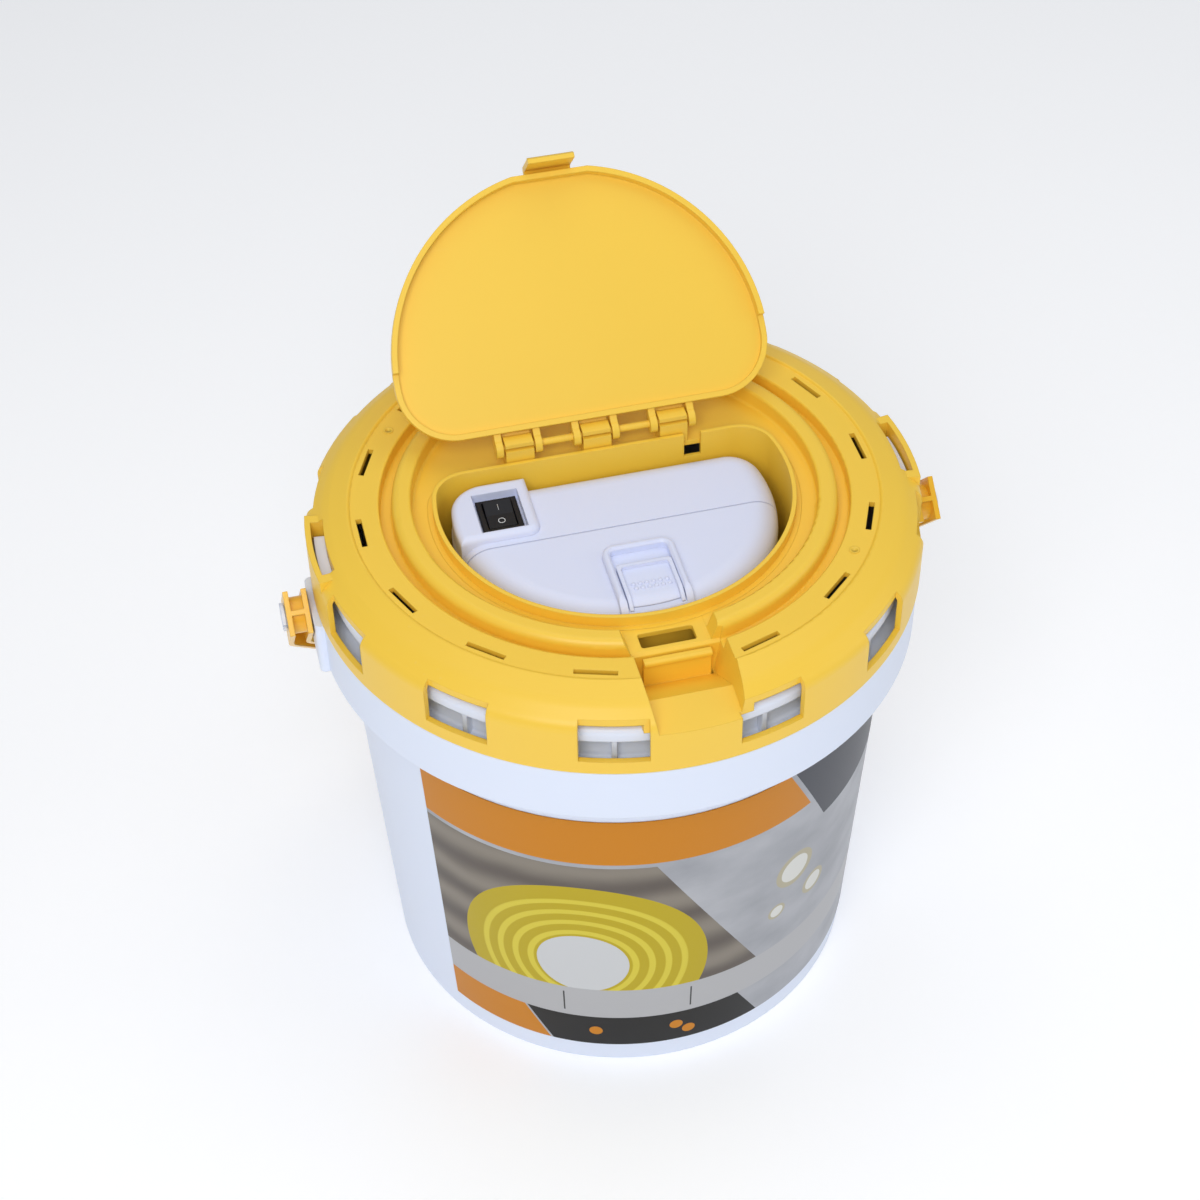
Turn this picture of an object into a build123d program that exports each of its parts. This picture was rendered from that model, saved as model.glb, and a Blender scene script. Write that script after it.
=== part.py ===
from build123d import *
import os
from math import cos, hypot, radians, sin, tan

# An aerated bait bucket, in millimetres. The origin is the centre of the bucket's
# base, +Z is up, -Y is the latch side and the carry handle's studs lie along X.
# The flip lid is drawn open on its stop and the handle hangs against the back.
# The radii run outward from the cells to the skirt, and the heights up from the
# bucket's shoulder, so a change of one size moves everything that fits round it.

# ---------------------------------------------------------------- cells and contacts
CELL_RADIUS = 17.1
CELL_LENGTH = 60.0
CELL_NUB_RADIUS = 4.6
CELL_NUB_HEIGHT = 1.5
CELL_GAP = 1.6
CELL_FIT = 1.34
CELL_SEAM_GAP = 2.8
SPRING_ROOM = 5.0
CONTACT_THICKNESS = 0.6
SPRING_RADIUS = 6.0
SPRING_WIRE = 0.6
SPRING_TURNS = 3

# ---------------------------------------------------------------- aerator housing, in plan
CASE_WALL = 2.0
CASE_BACK = 19.8
CASE_CORNER = 13.0
SEAM_Y = -11.4
SEAM_GAP = 0.4
PARTITION_THICKNESS = 1.6
CELL_X = CELL_RADIUS + CELL_GAP / 2
CELL_Y = SEAM_Y - CELL_SEAM_GAP - CELL_RADIUS
CASE_RADIUS = hypot(CELL_X, CELL_Y) + CELL_RADIUS + CELL_FIT + CASE_WALL
PARTITION_FRONT = SEAM_Y + SEAM_GAP / 2
PARTITION_BACK = PARTITION_FRONT + PARTITION_THICKNESS

# ---------------------------------------------------------------- radii from the well outward
WELL_WALL = 1.5
WELL_GAP = 4.2
WELL_BACK_GAP = 1.7
LIP_RADIUS = CASE_RADIUS + WELL_GAP + WELL_WALL
LIP_BACK = CASE_BACK + WELL_BACK_GAP + WELL_WALL
LIP_CORNER = CASE_CORNER
LIP_FLANGE = 1.8
LIP_BACK_FLANGE = 0.2
FLIP_OVERLAP = 4.1
FLIP_RADIUS = LIP_RADIUS + FLIP_OVERLAP
RING_GAP = 3.1
RING_WIDTH = 6.7
RING_INNER = FLIP_RADIUS + RING_GAP
RING_OUTER = RING_INNER + RING_WIDTH
GROOVE_WIDTH = 4.2
GROOVE_OUTER = RING_OUTER + GROOVE_WIDTH
ANNULUS_WIDTH = 9.9
STEP_RADIUS = GROOVE_OUTER + ANNULUS_WIDTH
PLUG_RADIUS = STEP_RADIUS + 4.7
PLUG_FIT = 0.4
BUCKET_WALL = 2.2
NECK_RADIUS = PLUG_RADIUS + PLUG_FIT + BUCKET_WALL
RIM_OVERHANG = 4.0
RIM_RADIUS = NECK_RADIUS + RIM_OVERHANG
FLANGE_RADIUS = RIM_RADIUS + 3.9
SKIRT_OVERHANG = 0.6
SKIRT_RADIUS = FLANGE_RADIUS + SKIRT_OVERHANG
SHOULDER_RADIUS = NECK_RADIUS - 0.7
BODY_TAPER = 8.3
BASE_RADIUS = SHOULDER_RADIUS - BODY_TAPER

# ---------------------------------------------------------------- bucket
SHOULDER_HEIGHT = 158.6
FOOT_HEIGHT = 4.0
FOOT_WIDTH = 4.0
FLANGE_HEIGHT = 22.0
FLANGE_TOP = SHOULDER_HEIGHT + FLANGE_HEIGHT
FLANGE_WALL = 2.2
NECK_HEIGHT = 15.9
RIM_TOP = FLANGE_TOP + NECK_HEIGHT
RIM_DEPTH = 6.0
BASE_RIBS = 12
RIB_WIDTH = 1.8

# ---------------------------------------------------------------- ear lugs and handle
LUG_HALF_WIDTH = 12.5
LUG_FACE = FLANGE_RADIUS + 2.5
PIVOT_DROP = 4.6
PIVOT_HEIGHT = FLANGE_TOP - PIVOT_DROP
STUD_RADIUS = 4.0
STUD_HEAD = 0.9
STUD_HEAD_LENGTH = 1.3
KEY_HALF_ANGLE = 6.0
KEY_RADIUS = RIM_RADIUS + 1.7
KEY_TOP = RIM_TOP + 3.7
STRAP_GAP = 0.5
STRAP_THICKNESS = 8.0
STRAP_WIDTH = 15.5
STRAP_WALL = 1.8
STRAP_TAIL = 9.0
HANDLE_REACH = 156.0
HANDLE_HANG_ANGLE = 41.8
HUB_RADIUS = 6.4
GRIP_LENGTH = 84.0
GRIP_SWELL = 1.4

# ---------------------------------------------------------------- body label
LABEL_START = -148.0
LABEL_END = -20.0
LABEL_LOW = 10.5
LABEL_HIGH = 146.0
LABEL_THICKNESS = 0.3
LABEL_STANDOFF = 0.03

# ---------------------------------------------------------------- lid
SKIRT_WALL = 2.0
SKIRT_LOW = FLANGE_TOP + 0.2
LID_WALL = 2.0
STOP_RADIUS = RIM_RADIUS - 2.1
STOP_LOW = RIM_TOP + 0.2
PLUG_LOW = RIM_TOP - 10.0
SHOULDER_CORNER = RIM_TOP + 4.7
CROWN_RADIUS = SKIRT_RADIUS - 7.0
CROWN_HEIGHT = RIM_TOP + 9.7
STEP_TOP = RIM_TOP + 12.5
SLOTTED_TOP = STEP_TOP - 1.0
GROOVE_FLOOR = SLOTTED_TOP - 5.0
RING_TOP = STEP_TOP + 0.6
DECK_TOP = RING_TOP - 6.2
WINDOW_ANGLES = (18.6, 47.15, 75.7)
WINDOW_HALF_ANGLE = 6.2
WINDOW_LOW = PLUG_LOW
WINDOW_DEPTH = 2.7
VENT_ANGLES = (18, 42, 66, 90, 114, 138, 162)
VENT_LENGTH = 14.0
VENT_WIDTH = 1.9
VENT_RADIUS = GROOVE_OUTER + VENT_LENGTH / 2
EAR_HALF_ANGLE = 9.4
EAR_OPENING_HALF_ANGLE = 7.4
EAR_TOP = CROWN_HEIGHT - 1.6
EAR_LOW = RIM_TOP + 0.7
EAR_BAR = 2.1
EAR_INNER = STOP_RADIUS + 0.2

# ---------------------------------------------------------------- well in the lid
LIP_TOP = RING_TOP - 2.2
CASE_HEIGHT = 61.1
CASE_DROP = 22.0
CASE_RIM = RING_TOP - CASE_DROP
CASE_LOW = CASE_RIM - CASE_HEIGHT
CASE_SEAT = 0.1
WELL_FLOOR = CASE_LOW - CASE_SEAT
LINE_SLOT_X = 33.8
LINE_SLOT_WIDTH = 6.1
LINE_SLOT_DEPTH = 9.8
WELL_DRAINS = ((-38, -14), (38, -14), (-22, -38), (22, -38))
DRAIN_LENGTH = 10.0
DRAIN_WIDTH = 3.0

# ---------------------------------------------------------------- latch side of the lid
LATCH_X = 1.6
SADDLE_HALF_WIDTH = 13.4
SADDLE_FLARE = 2.6
SADDLE_FRONT = -RING_OUTER + 1.4
SADDLE_TOP = DECK_TOP - 0.1
SADDLE_CHAMFER = 1.0
HOOK_SLOT_HALF_WIDTH = 9.2
HOOK_SLOT_BACK = -LIP_RADIUS - 3.5
HOOK_SLOT_LENGTH = 6.5
HOOK_SLOT_CORNER = 0.9
PLATE_HALF_WIDTH = 11.3
PLATE_FRONT = SADDLE_FRONT - 1.7
PLATE_THICKNESS = 1.2
PIT_DEPTH = 4.0
PLATE_LOW = DECK_TOP - 13.2
PLATE_TOP = DECK_TOP - 1.8
PLATE_LIP = 1.3
PLATE_LIP_HEIGHT = 2.4
NOTCH_HALF_WIDTH = 12.4
NOTCH_FLARE = 3.6
NOTCH_RISE_END = -STEP_RADIUS - 0.8
NOTCH_OUTER_HEIGHT = RIM_TOP + 2.5

# ---------------------------------------------------------------- hinge and flip lid
ROD_RADIUS = 1.3
ROD_FIT = 0.08
ARM_PITCH = 13.74
ARM_WIDTH = 2.5
ARM_END_RADIUS = 3.3
CLIP_WIDTH = 10.0
CLIP_BAYS = (-2, 0, 2)
FLIP_BACK = LIP_BACK - 1.0
FLIP_CORNER = 20.0
FLIP_FRONT = -FLIP_RADIUS + 1.4
FLIP_UNDER = RING_TOP - 0.2
FLIP_THICKNESS = 2.0
FLIP_RIM_WIDTH = 2.0
FLIP_RIM_LOW = LIP_TOP + 0.2
FLIP_SKIRT_LOW = DECK_TOP + 1.8
FLIP_SKIRT_START = -4.0
FLIP_OPEN_ANGLE = 136.0
ROD_Y = LIP_BACK + 3.9
ROD_Z = FLIP_UNDER + 1.6
TAB_HALF_WIDTH = HOOK_SLOT_HALF_WIDTH - 1.0
HOOK_THICKNESS = 2.0
TAB_FRONT = HOOK_SLOT_BACK - 0.9 - HOOK_THICKNESS
HOOK_LOW = DECK_TOP - 6.4
HOOK_BARB = 0.4
HOOK_BARB_HEIGHT = 1.4

# ---------------------------------------------------------------- aerator housing, in height
GASKET_THICKNESS = 1.0
GASKET_WIDTH = 1.4
CAP_LOW = CASE_RIM + GASKET_THICKNESS
CAP_HEIGHT = 12.6
TOP_HEIGHT = CAP_LOW + CAP_HEIGHT
TOP_ROUND = 9.5
SCREW_SPOTS = ((-26.0, 13.2), (42.0, 9.5), (-49.0, -4.6))
COLUMN_RADIUS = 3.3
COLUMN_TOP = CASE_RIM - 3.6
SCREW_RADIUS = 1.5
SCREW_HEAD_RADIUS = 2.4
SCREW_HEAD_HEIGHT = 2.0
SCREW_SEAT = COLUMN_TOP - 12.0
SCREW_TIP = COLUMN_TOP + 10.0

# ---------------------------------------------------------------- rocker switch
SWITCH_X = -39.4
SWITCH_Y = 3.8
BOSS_RIGHT = -27.4
BOSS_FRONT = -8.6
BOSS_TOP = TOP_HEIGHT + 2.6
BOSS_INSET = 0.5
BOSS_ROUND = 2.4
BOSS_CORNER = 4.0
POCKET_LENGTH = 19.4
POCKET_WIDTH = 16.0
POCKET_FLOOR = TOP_HEIGHT - 0.6
BEZEL_LENGTH = 16.4
BEZEL_WIDTH = 14.2
BEZEL_THICKNESS = 1.5
SWITCH_LENGTH = 14.6
SWITCH_WIDTH = 12.6
SWITCH_LOW = TOP_HEIGHT - 17.2
ROCKER_LENGTH = 12.8
ROCKER_WIDTH = 9.6
ROCKER_PIVOT = TOP_HEIGHT - 1.2
ROCKER_TILT = 7.0
ROCKER_RISE = 2.8
ROCKER_WELL_GAP = 0.4
ROCKER_PIN_RADIUS = 1.0
ROCKER_PIN_LENGTH = 1.2
ROCKER_PIN_FIT = 0.05
TERMINAL_PITCH = 7.0
TERMINAL_LENGTH = 7.0
TERMINAL_LOW = SWITCH_LOW - TERMINAL_LENGTH

# ---------------------------------------------------------------- battery cover and its latch
FRAME_WIDTH = 25.0
FRAME_BACK = -22.4
FRAME_WALL = 2.6
FRAME_TOP = TOP_HEIGHT + 2.6
FRAME_CORNER = 4.6
FRAME_ROUND = 1.3
FRAME_INSET = 0.4
RECESS_FLOOR = TOP_HEIGHT - 0.4
RECESS_CHAMFER = 0.8
PAD_BACK = -32.6
PAD_FRONT = -CASE_RADIUS + 2.6
PAD_TOP = FRAME_TOP - 0.3
PAD_RIM = 1.4
PAD_DEPTH = 1.3
PAD_GAP = 0.35
PAD_BUMP_RADIUS = 0.75
PAD_BUMP_PITCH = 2.3
PAD_BUMP_COUNT = 6
LATCH_TRAVEL = 3.0
TONGUE_WIDTH = 7.6
TONGUE_TIP = -CASE_RADIUS + 5.8
TONGUE_LOW = CASE_RIM - 3.0
TONGUE_GAP = 2.4
KEEPER_EDGE = TONGUE_TIP - TONGUE_GAP
KEEPER_TOP = CASE_RIM - 0.6
KEEPER_THICKNESS = 1.8
STEM_THICKNESS = 2.0
POST_RADIUS = 5.0

# ---------------------------------------------------------------- motor and pump
FLOOR_TOP = CASE_LOW + CASE_WALL
CELL_LOW = FLOOR_TOP + SPRING_ROOM
CELL_TOP = CELL_LOW + CELL_LENGTH
MOTOR_RADIUS = 12.0
MOTOR_GAP = 0.6
MOTOR_Y = PARTITION_BACK + MOTOR_GAP + MOTOR_RADIUS
MOTOR_Z = FLOOR_TOP + 23.5
MOTOR_START = 2.0
MOTOR_LENGTH = 30.0
MOTOR_BOSS_RADIUS = 3.2
SHAFT_RADIUS = 1.0
SHAFT_END = -7.0
CRANK_RADIUS = 5.0
CRANK_THICKNESS = 3.0
CRANK_THROW = 2.0
PIN_RADIUS = 1.0
PIN_END = -11.4
YOKE_X = -9.6
YOKE_THICKNESS = 2.0
YOKE_WINDOW = 6.6
YOKE_WALL = 1.8
DIAPHRAGM_RADIUS = 10.0
DIAPHRAGM_THICKNESS = 1.4
HEAD_RADIUS = 11.5
HEAD_HEIGHT = 9.5
HEAD_TOP = FLOOR_TOP + HEAD_HEIGHT
BARB_RADIUS = 2.4
BARB_LENGTH = 12.5
BARB_LOW = CASE_LOW - BARB_LENGTH
TUBE_RADIUS = 3.6
TUBE_BORE = 2.5
TUBE_TOP = CASE_LOW - 2.5
STONE_RADIUS = 8.0
STONE_LOW = 14.0
STONE_LENGTH = 26.0
STONE_TOP = STONE_LOW + STONE_LENGTH
TUBE_LOW = STONE_TOP + 1.0
TUBE_HOLE_RADIUS = 10.0
LEAD_X = -26.0
LEAD_RADIUS = 0.7
LEAD_BEND = 3.0


# ================================================================ shared helpers
def turned(corners):
    """Turn a closed profile about Z. Each corner is (radius, height, rounding)."""
    points = [(radius, 0, height) for radius, height, _ in corners]
    rounds = [rounding for _, _, rounding in corners]
    outline = FilletPolyline(*points, radius=rounds, close=True)
    return revolve(make_face(outline), Axis.Z)


def drum(radius, low, high, x=0.0, y=0.0):
    """An upright cylinder between two heights."""
    return Pos(x, y, (low + high) / 2) * Cylinder(radius, high - low)


def lying_drum(radius, start, end, y, z):
    """A cylinder along X between two x values."""
    return Pos((start + end) / 2, y, z) * Rot(0, 90, 0) * Cylinder(radius, end - start)


def block(x_range, y_range, z_range):
    """A box given by its three ranges."""
    middle = [(low + high) / 2 for low, high in (x_range, y_range, z_range)]
    size = [high - low for low, high in (x_range, y_range, z_range)]
    return Pos(*middle) * Box(*size)


def sector(inner, outer, low, high, angle, half_angle):
    """A curved block round Z, centred on an angle."""
    ring = drum(outer, low, high) - drum(inner, low - 1, high + 1)
    reach = 2 * outer
    spread = reach * tan(radians(half_angle))
    wedge = make_face(Polyline((0, 0), (reach, -spread), (reach, spread), close=True))
    return ring & (Rot(0, 0, angle) * Pos(0, 0, low) * extrude(wedge, high - low))


def side_prism(points, x_low, x_high):
    """A prism along X from (y, z) corners."""
    face = make_face(Polyline(*[(x_low, y, z) for y, z in points], close=True))
    return extrude(face, x_high - x_low, dir=(1, 0, 0))


def d_prism(radius, back, corner, low, high):
    """An upright prism on a D: a circle cut flat at the back, both corners rounded."""
    outline = Circle(radius) & (Pos(0, back - radius) * Rectangle(2 * radius, 2 * radius))
    outline = fillet(outline.vertices().group_by(Axis.Y)[-1], corner)
    return Pos(0, 0, low) * extrude(outline, high - low)


def save(node, shape):
    """Write one node's solid or solids."""
    export_step(shape, f"parts/{node}.step")


# ================================================================ bucket
def body_radius(height):
    """Outer radius of the tapered body at a height."""
    return BASE_RADIUS + (SHOULDER_RADIUS - BASE_RADIUS) * height / SHOULDER_HEIGHT


def bucket_wall_shell():
    """The tapered wall with the thick foot ring that the bucket stands on."""
    floor_top = FOOT_HEIGHT + BUCKET_WALL
    return turned([
        (BASE_RADIUS - FOOT_WIDTH, 0, 0),
        (BASE_RADIUS, 0, 1.0),
        (SHOULDER_RADIUS, SHOULDER_HEIGHT, 0),
        (SHOULDER_RADIUS - BUCKET_WALL, SHOULDER_HEIGHT, 0),
        (BASE_RADIUS - BUCKET_WALL, floor_top, 1.2),
        (BASE_RADIUS - FOOT_WIDTH, floor_top, 0),
    ])


def collar_shell():
    """The top of the wall with its hanging flange, neck and rounded rim."""
    neck_bore = NECK_RADIUS - BUCKET_WALL
    web_low = FLANGE_TOP - FLANGE_WALL
    return turned([
        (SHOULDER_RADIUS, SHOULDER_HEIGHT, 0),
        (body_radius(web_low), web_low, 1.0),
        (FLANGE_RADIUS - FLANGE_WALL, web_low, 1.0),
        (FLANGE_RADIUS - FLANGE_WALL, SHOULDER_HEIGHT, 0),
        (FLANGE_RADIUS, SHOULDER_HEIGHT, 0.6),
        (FLANGE_RADIUS, FLANGE_TOP, 0.8),
        (NECK_RADIUS, FLANGE_TOP, 1.0),
        (NECK_RADIUS, RIM_TOP - RIM_DEPTH, 0.8),
        (RIM_RADIUS, RIM_TOP - RIM_DEPTH, 1.2),
        (RIM_RADIUS, RIM_TOP, 2.6),
        (neck_bore, RIM_TOP, 0.8),
        (neck_bore, FLANGE_TOP, 0),
        (SHOULDER_RADIUS - BUCKET_WALL, SHOULDER_HEIGHT, 0),
    ])


def window_angles():
    """Angles about Z of the twelve skirt windows and the neck ribs behind them."""
    upper = list(WINDOW_ANGLES) + [180 - angle for angle in WINDOW_ANGLES]
    return upper + [-angle for angle in upper]


def neck_rib(angle):
    """One upright rib between the flange and the rim."""
    low = FLANGE_TOP - 0.5
    high = RIM_TOP - RIM_DEPTH + 0.5
    rib = block((NECK_RADIUS - 1, RIM_RADIUS - 1.2), (-RIB_WIDTH / 2, RIB_WIDTH / 2), (low, high))
    return Rot(0, 0, angle) * rib


def base_rib(angle):
    """One radial stiffener under the base, inside the foot ring."""
    inner = BASE_RADIUS * 0.25
    outer = BASE_RADIUS - FOOT_WIDTH - 0.1
    rib = block((inner, outer), (-RIB_WIDTH / 2, RIB_WIDTH / 2), (FOOT_HEIGHT / 2, FOOT_HEIGHT + 0.5))
    return Rot(0, 0, angle) * rib


def stud():
    """The snap stud on the +X lug that the handle's end turns on."""
    outer_face = LUG_FACE + STRAP_GAP + STRAP_THICKNESS
    head_start = outer_face + 0.3
    head_end = head_start + STUD_HEAD_LENGTH
    shank = lying_drum(STUD_RADIUS, LUG_FACE - 1, head_end, 0, PIVOT_HEIGHT)
    head = lying_drum(STUD_RADIUS + STUD_HEAD, head_start, head_end, 0, PIVOT_HEIGHT)
    split = block(
        (LUG_FACE + STRAP_THICKNESS / 2, head_end + 1),
        (-2 * STUD_RADIUS, 2 * STUD_RADIUS),
        (PIVOT_HEIGHT - 0.6, PIVOT_HEIGHT + 0.6),
    )
    return shank + head - split


def ear_lug():
    """The square lug on the +X side, its stud, and the key that rises above the rim."""
    lug = block((NECK_RADIUS - 2.0, LUG_FACE), (-LUG_HALF_WIDTH, LUG_HALF_WIDTH), (SHOULDER_HEIGHT, FLANGE_TOP))
    lug = fillet(lug.edges().filter_by(Axis.Z).group_by(Axis.X)[-1], 2.0)
    key = sector(RIM_RADIUS - 2.0, KEY_RADIUS, RIM_TOP - RIM_DEPTH + 1.4, KEY_TOP, 0, KEY_HALF_ANGLE)
    return lug + key + stud()


def make_bucket_floor():
    """The floor disc inside the foot ring, with its radial stiffeners."""
    floor = drum(BASE_RADIUS - FOOT_WIDTH, FOOT_HEIGHT, FOOT_HEIGHT + BUCKET_WALL)
    for number in range(BASE_RIBS):
        floor += base_rib(number * 360 / BASE_RIBS)
    return floor


def make_bucket_collar():
    """The bucket's upper ring with its ribs, lugs, studs and keys."""
    collar = collar_shell()
    for angle in window_angles():
        collar += neck_rib(angle)
    right = ear_lug()
    return collar + right + Rot(0, 0, 180) * right


def make_label():
    """The thin wrap on the front of the body."""
    inner_low = body_radius(LABEL_LOW) + LABEL_STANDOFF
    inner_high = body_radius(LABEL_HIGH) + LABEL_STANDOFF
    profile = make_face(Polyline(
        (inner_low, 0, LABEL_LOW),
        (inner_low + LABEL_THICKNESS, 0, LABEL_LOW),
        (inner_high + LABEL_THICKNESS, 0, LABEL_HIGH),
        (inner_high, 0, LABEL_HIGH),
        close=True,
    ))
    wrap = revolve(profile, Axis.Z, LABEL_END - LABEL_START)
    return Rot(0, 0, LABEL_START) * wrap


# ================================================================ handle
def handle_outline(inset):
    """The U seen square on, in (x, depth below the pivot), shrunk by an inset."""
    half = LUG_FACE + STRAP_GAP + STRAP_THICKNESS - inset
    bottom = HANDLE_REACH - inset
    right = [
        (half, STRAP_TAIL + 2 * inset),
        (half, -36.0),
        (half - 15.0 + 0.15 * inset, -102.0 + 0.3 * inset),
        (half - 54.0 + 0.45 * inset, -bottom + 11.0 - 0.1 * inset),
        (34.0, -bottom),
    ]
    left = [(-x, z) for x, z in reversed(right)]
    bends = [0, 80.0, 70.0, 60.0, 60.0]
    points = [(x, 0, z) for x, z in right + left]
    return make_face(FilletPolyline(*points, radius=bends + bends[::-1], close=True))


def u_band(outer_inset, inner_inset, width):
    """A U-shaped band between two insets, centred on the handle's plane."""
    outer = extrude(handle_outline(outer_inset), width / 2, both=True)
    inner = extrude(handle_outline(inner_inset), width, both=True)
    above = block((-2 * LUG_FACE, 2 * LUG_FACE), (-width, width), (STRAP_TAIL, 6 * STRAP_TAIL))
    return outer - inner - above


def handle_end():
    """The hub round the +X stud, inside the strap's two flanges."""
    start = LUG_FACE + STRAP_GAP
    hub = lying_drum(HUB_RADIUS, start, start + STRAP_THICKNESS, 0, 0)
    return hub


def stud_bore():
    """The running hole for the +X stud."""
    start = LUG_FACE + STRAP_GAP
    return lying_drum(STUD_RADIUS + 0.1, start - 1, start + STRAP_THICKNESS + 1, 0, 0)


def handle_grip():
    """The closed, swollen grip in the middle of the strap."""
    middle = HANDLE_REACH - STRAP_THICKNESS / 2
    height = STRAP_THICKNESS + 2 * GRIP_SWELL
    grip = Pos(0, 0, -middle) * Box(GRIP_LENGTH, STRAP_WIDTH - 0.6, height)
    return fillet(grip.edges().filter_by(Axis.X), height / 2 - 1.4)


def make_handle():
    """The H-section strap, modelled hanging straight down and then swung to its rest."""
    flanges = u_band(0, STRAP_WALL, STRAP_WIDTH)
    flanges += u_band(STRAP_THICKNESS - STRAP_WALL, STRAP_THICKNESS, STRAP_WIDTH)
    web = u_band(0.5, STRAP_THICKNESS - 0.5, STRAP_WALL)
    handle = flanges + web + handle_grip()
    for side in (0, 180):
        handle += Rot(0, 0, side) * handle_end()
    for side in (0, 180):
        handle -= Rot(0, 0, side) * stud_bore()
    return Pos(0, 0, PIVOT_HEIGHT) * Rot(HANDLE_HANG_ANGLE, 0, 0) * handle


# ================================================================ lid
def lid_top_line():
    """Corners of the lid's upper surface from the skirt's foot to the axis."""
    return [
        (SKIRT_RADIUS, SKIRT_LOW, 0.6),
        (SKIRT_RADIUS, SHOULDER_CORNER, 5.0),
        (CROWN_RADIUS, CROWN_HEIGHT, 12.0),
        (STEP_RADIUS + 0.6, STEP_TOP, 0.8),
        (STEP_RADIUS, SLOTTED_TOP, 0.3),
        (GROOVE_OUTER, SLOTTED_TOP, 0.8),
        (GROOVE_OUTER, GROOVE_FLOOR, 0.6),
        (RING_OUTER, GROOVE_FLOOR, 0.6),
        (RING_OUTER, RING_TOP, 2.8),
        (RING_INNER, RING_TOP, 1.0),
        (RING_INNER, DECK_TOP, 1.0),
        (0, DECK_TOP, 0),
    ]


def lid_shell():
    """The turned shell: skirt, crown, slotted annulus, groove, ring, deck and plug wall."""
    under = [
        (0, DECK_TOP - LID_WALL, 0),
        (RING_INNER + LID_WALL, DECK_TOP - LID_WALL, 0.5),
        (RING_INNER + LID_WALL, RING_TOP - LID_WALL, 0.5),
        (RING_OUTER - LID_WALL, RING_TOP - LID_WALL, 1.2),
        (RING_OUTER - LID_WALL, GROOVE_FLOOR - LID_WALL, 0.5),
        (GROOVE_OUTER + LID_WALL, GROOVE_FLOOR - LID_WALL, 0.5),
        (GROOVE_OUTER + LID_WALL, SLOTTED_TOP - LID_WALL, 0.5),
        (PLUG_RADIUS - LID_WALL, SLOTTED_TOP - LID_WALL - 0.4, 0.5),
        (PLUG_RADIUS - LID_WALL, PLUG_LOW, 0),
        (PLUG_RADIUS, PLUG_LOW, 0.8),
        (PLUG_RADIUS, STOP_LOW, 0.3),
        (STOP_RADIUS, STOP_LOW, 0.5),
        (STOP_RADIUS, CROWN_HEIGHT - LID_WALL - 0.8, 0.5),
        (SKIRT_RADIUS - SKIRT_WALL, SHOULDER_CORNER - 1.4, 3.0),
        (SKIRT_RADIUS - SKIRT_WALL, SKIRT_LOW, 0),
    ]
    return turned(lid_top_line() + under)


def lid_envelope():
    """Everything under the lid's upper surface, which trims what is added below it."""
    return turned(lid_top_line()[1:] + [(0, WELL_FLOOR, 0), (SKIRT_RADIUS, WELL_FLOOR, 0)])


def skirt_window(angle):
    """The cutter for one window in the skirt, open into the shoulder."""
    inner = SKIRT_RADIUS - WINDOW_DEPTH
    return sector(inner, SKIRT_RADIUS + 2, WINDOW_LOW, RING_TOP, angle, WINDOW_HALF_ANGLE)


def ear_frame(angle):
    """The raised frame over one ear lug, before its opening is cut."""
    return sector(EAR_INNER, SKIRT_RADIUS - 0.1, EAR_LOW, EAR_TOP, angle, EAR_HALF_ANGLE)


def ear_opening(angle):
    """The cutter through which the lug's key shows."""
    outer = SKIRT_RADIUS - EAR_BAR
    return sector(EAR_INNER, outer, STOP_LOW - 1, RING_TOP, angle, EAR_OPENING_HALF_ANGLE)


def vent_slot(angle):
    """The cutter for one air slot in the slotted annulus."""
    slot = Pos(VENT_RADIUS, 0, SLOTTED_TOP) * Box(VENT_WIDTH, VENT_LENGTH, 4 * LID_WALL)
    return Rot(0, 0, angle) * slot


def radial_rib(angle):
    """One stiffener under the slotted annulus."""
    rib = block(
        (GROOVE_OUTER + 1, PLUG_RADIUS - 1),
        (-RIB_WIDTH / 2, RIB_WIDTH / 2),
        (SLOTTED_TOP - 8, SLOTTED_TOP - 1.2),
    )
    return Rot(0, 0, angle) * rib


def vent_angles():
    """Angles of the fourteen slots, counted both ways from the latch."""
    return [-90 + side * angle for angle in VENT_ANGLES for side in (-1, 1)]


def well_bore(low, high):
    """The inside of the well."""
    return d_prism(LIP_RADIUS - WELL_WALL, LIP_BACK - WELL_WALL, LIP_CORNER - WELL_WALL, low, high)


def lip_flange(low, high):
    """The narrow flange round the lip, where the well meets the rest of the lid."""
    return d_prism(LIP_RADIUS + LIP_FLANGE, LIP_BACK + LIP_BACK_FLANGE, LIP_CORNER, low, high)


def well_openings():
    """The hole for the drop tube, four drains and the slot for a line led outside."""
    floor = (WELL_FLOOR - 2 * LID_WALL, WELL_FLOOR + 1)
    cut = drum(TUBE_HOLE_RADIUS, floor[0], floor[1], YOKE_X, MOTOR_Y)
    for x, y in WELL_DRAINS:
        cut += block(
            (x - DRAIN_LENGTH / 2, x + DRAIN_LENGTH / 2),
            (y - DRAIN_WIDTH / 2, y + DRAIN_WIDTH / 2),
            floor,
        )
    slot_x = (LINE_SLOT_X - LINE_SLOT_WIDTH / 2, LINE_SLOT_X + LINE_SLOT_WIDTH / 2)
    wall_y = (LIP_BACK - 2 * WELL_WALL, LIP_BACK + WELL_WALL)
    return cut + block(slot_x, wall_y, (LIP_TOP - LINE_SLOT_DEPTH, LIP_TOP + 1))


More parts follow.
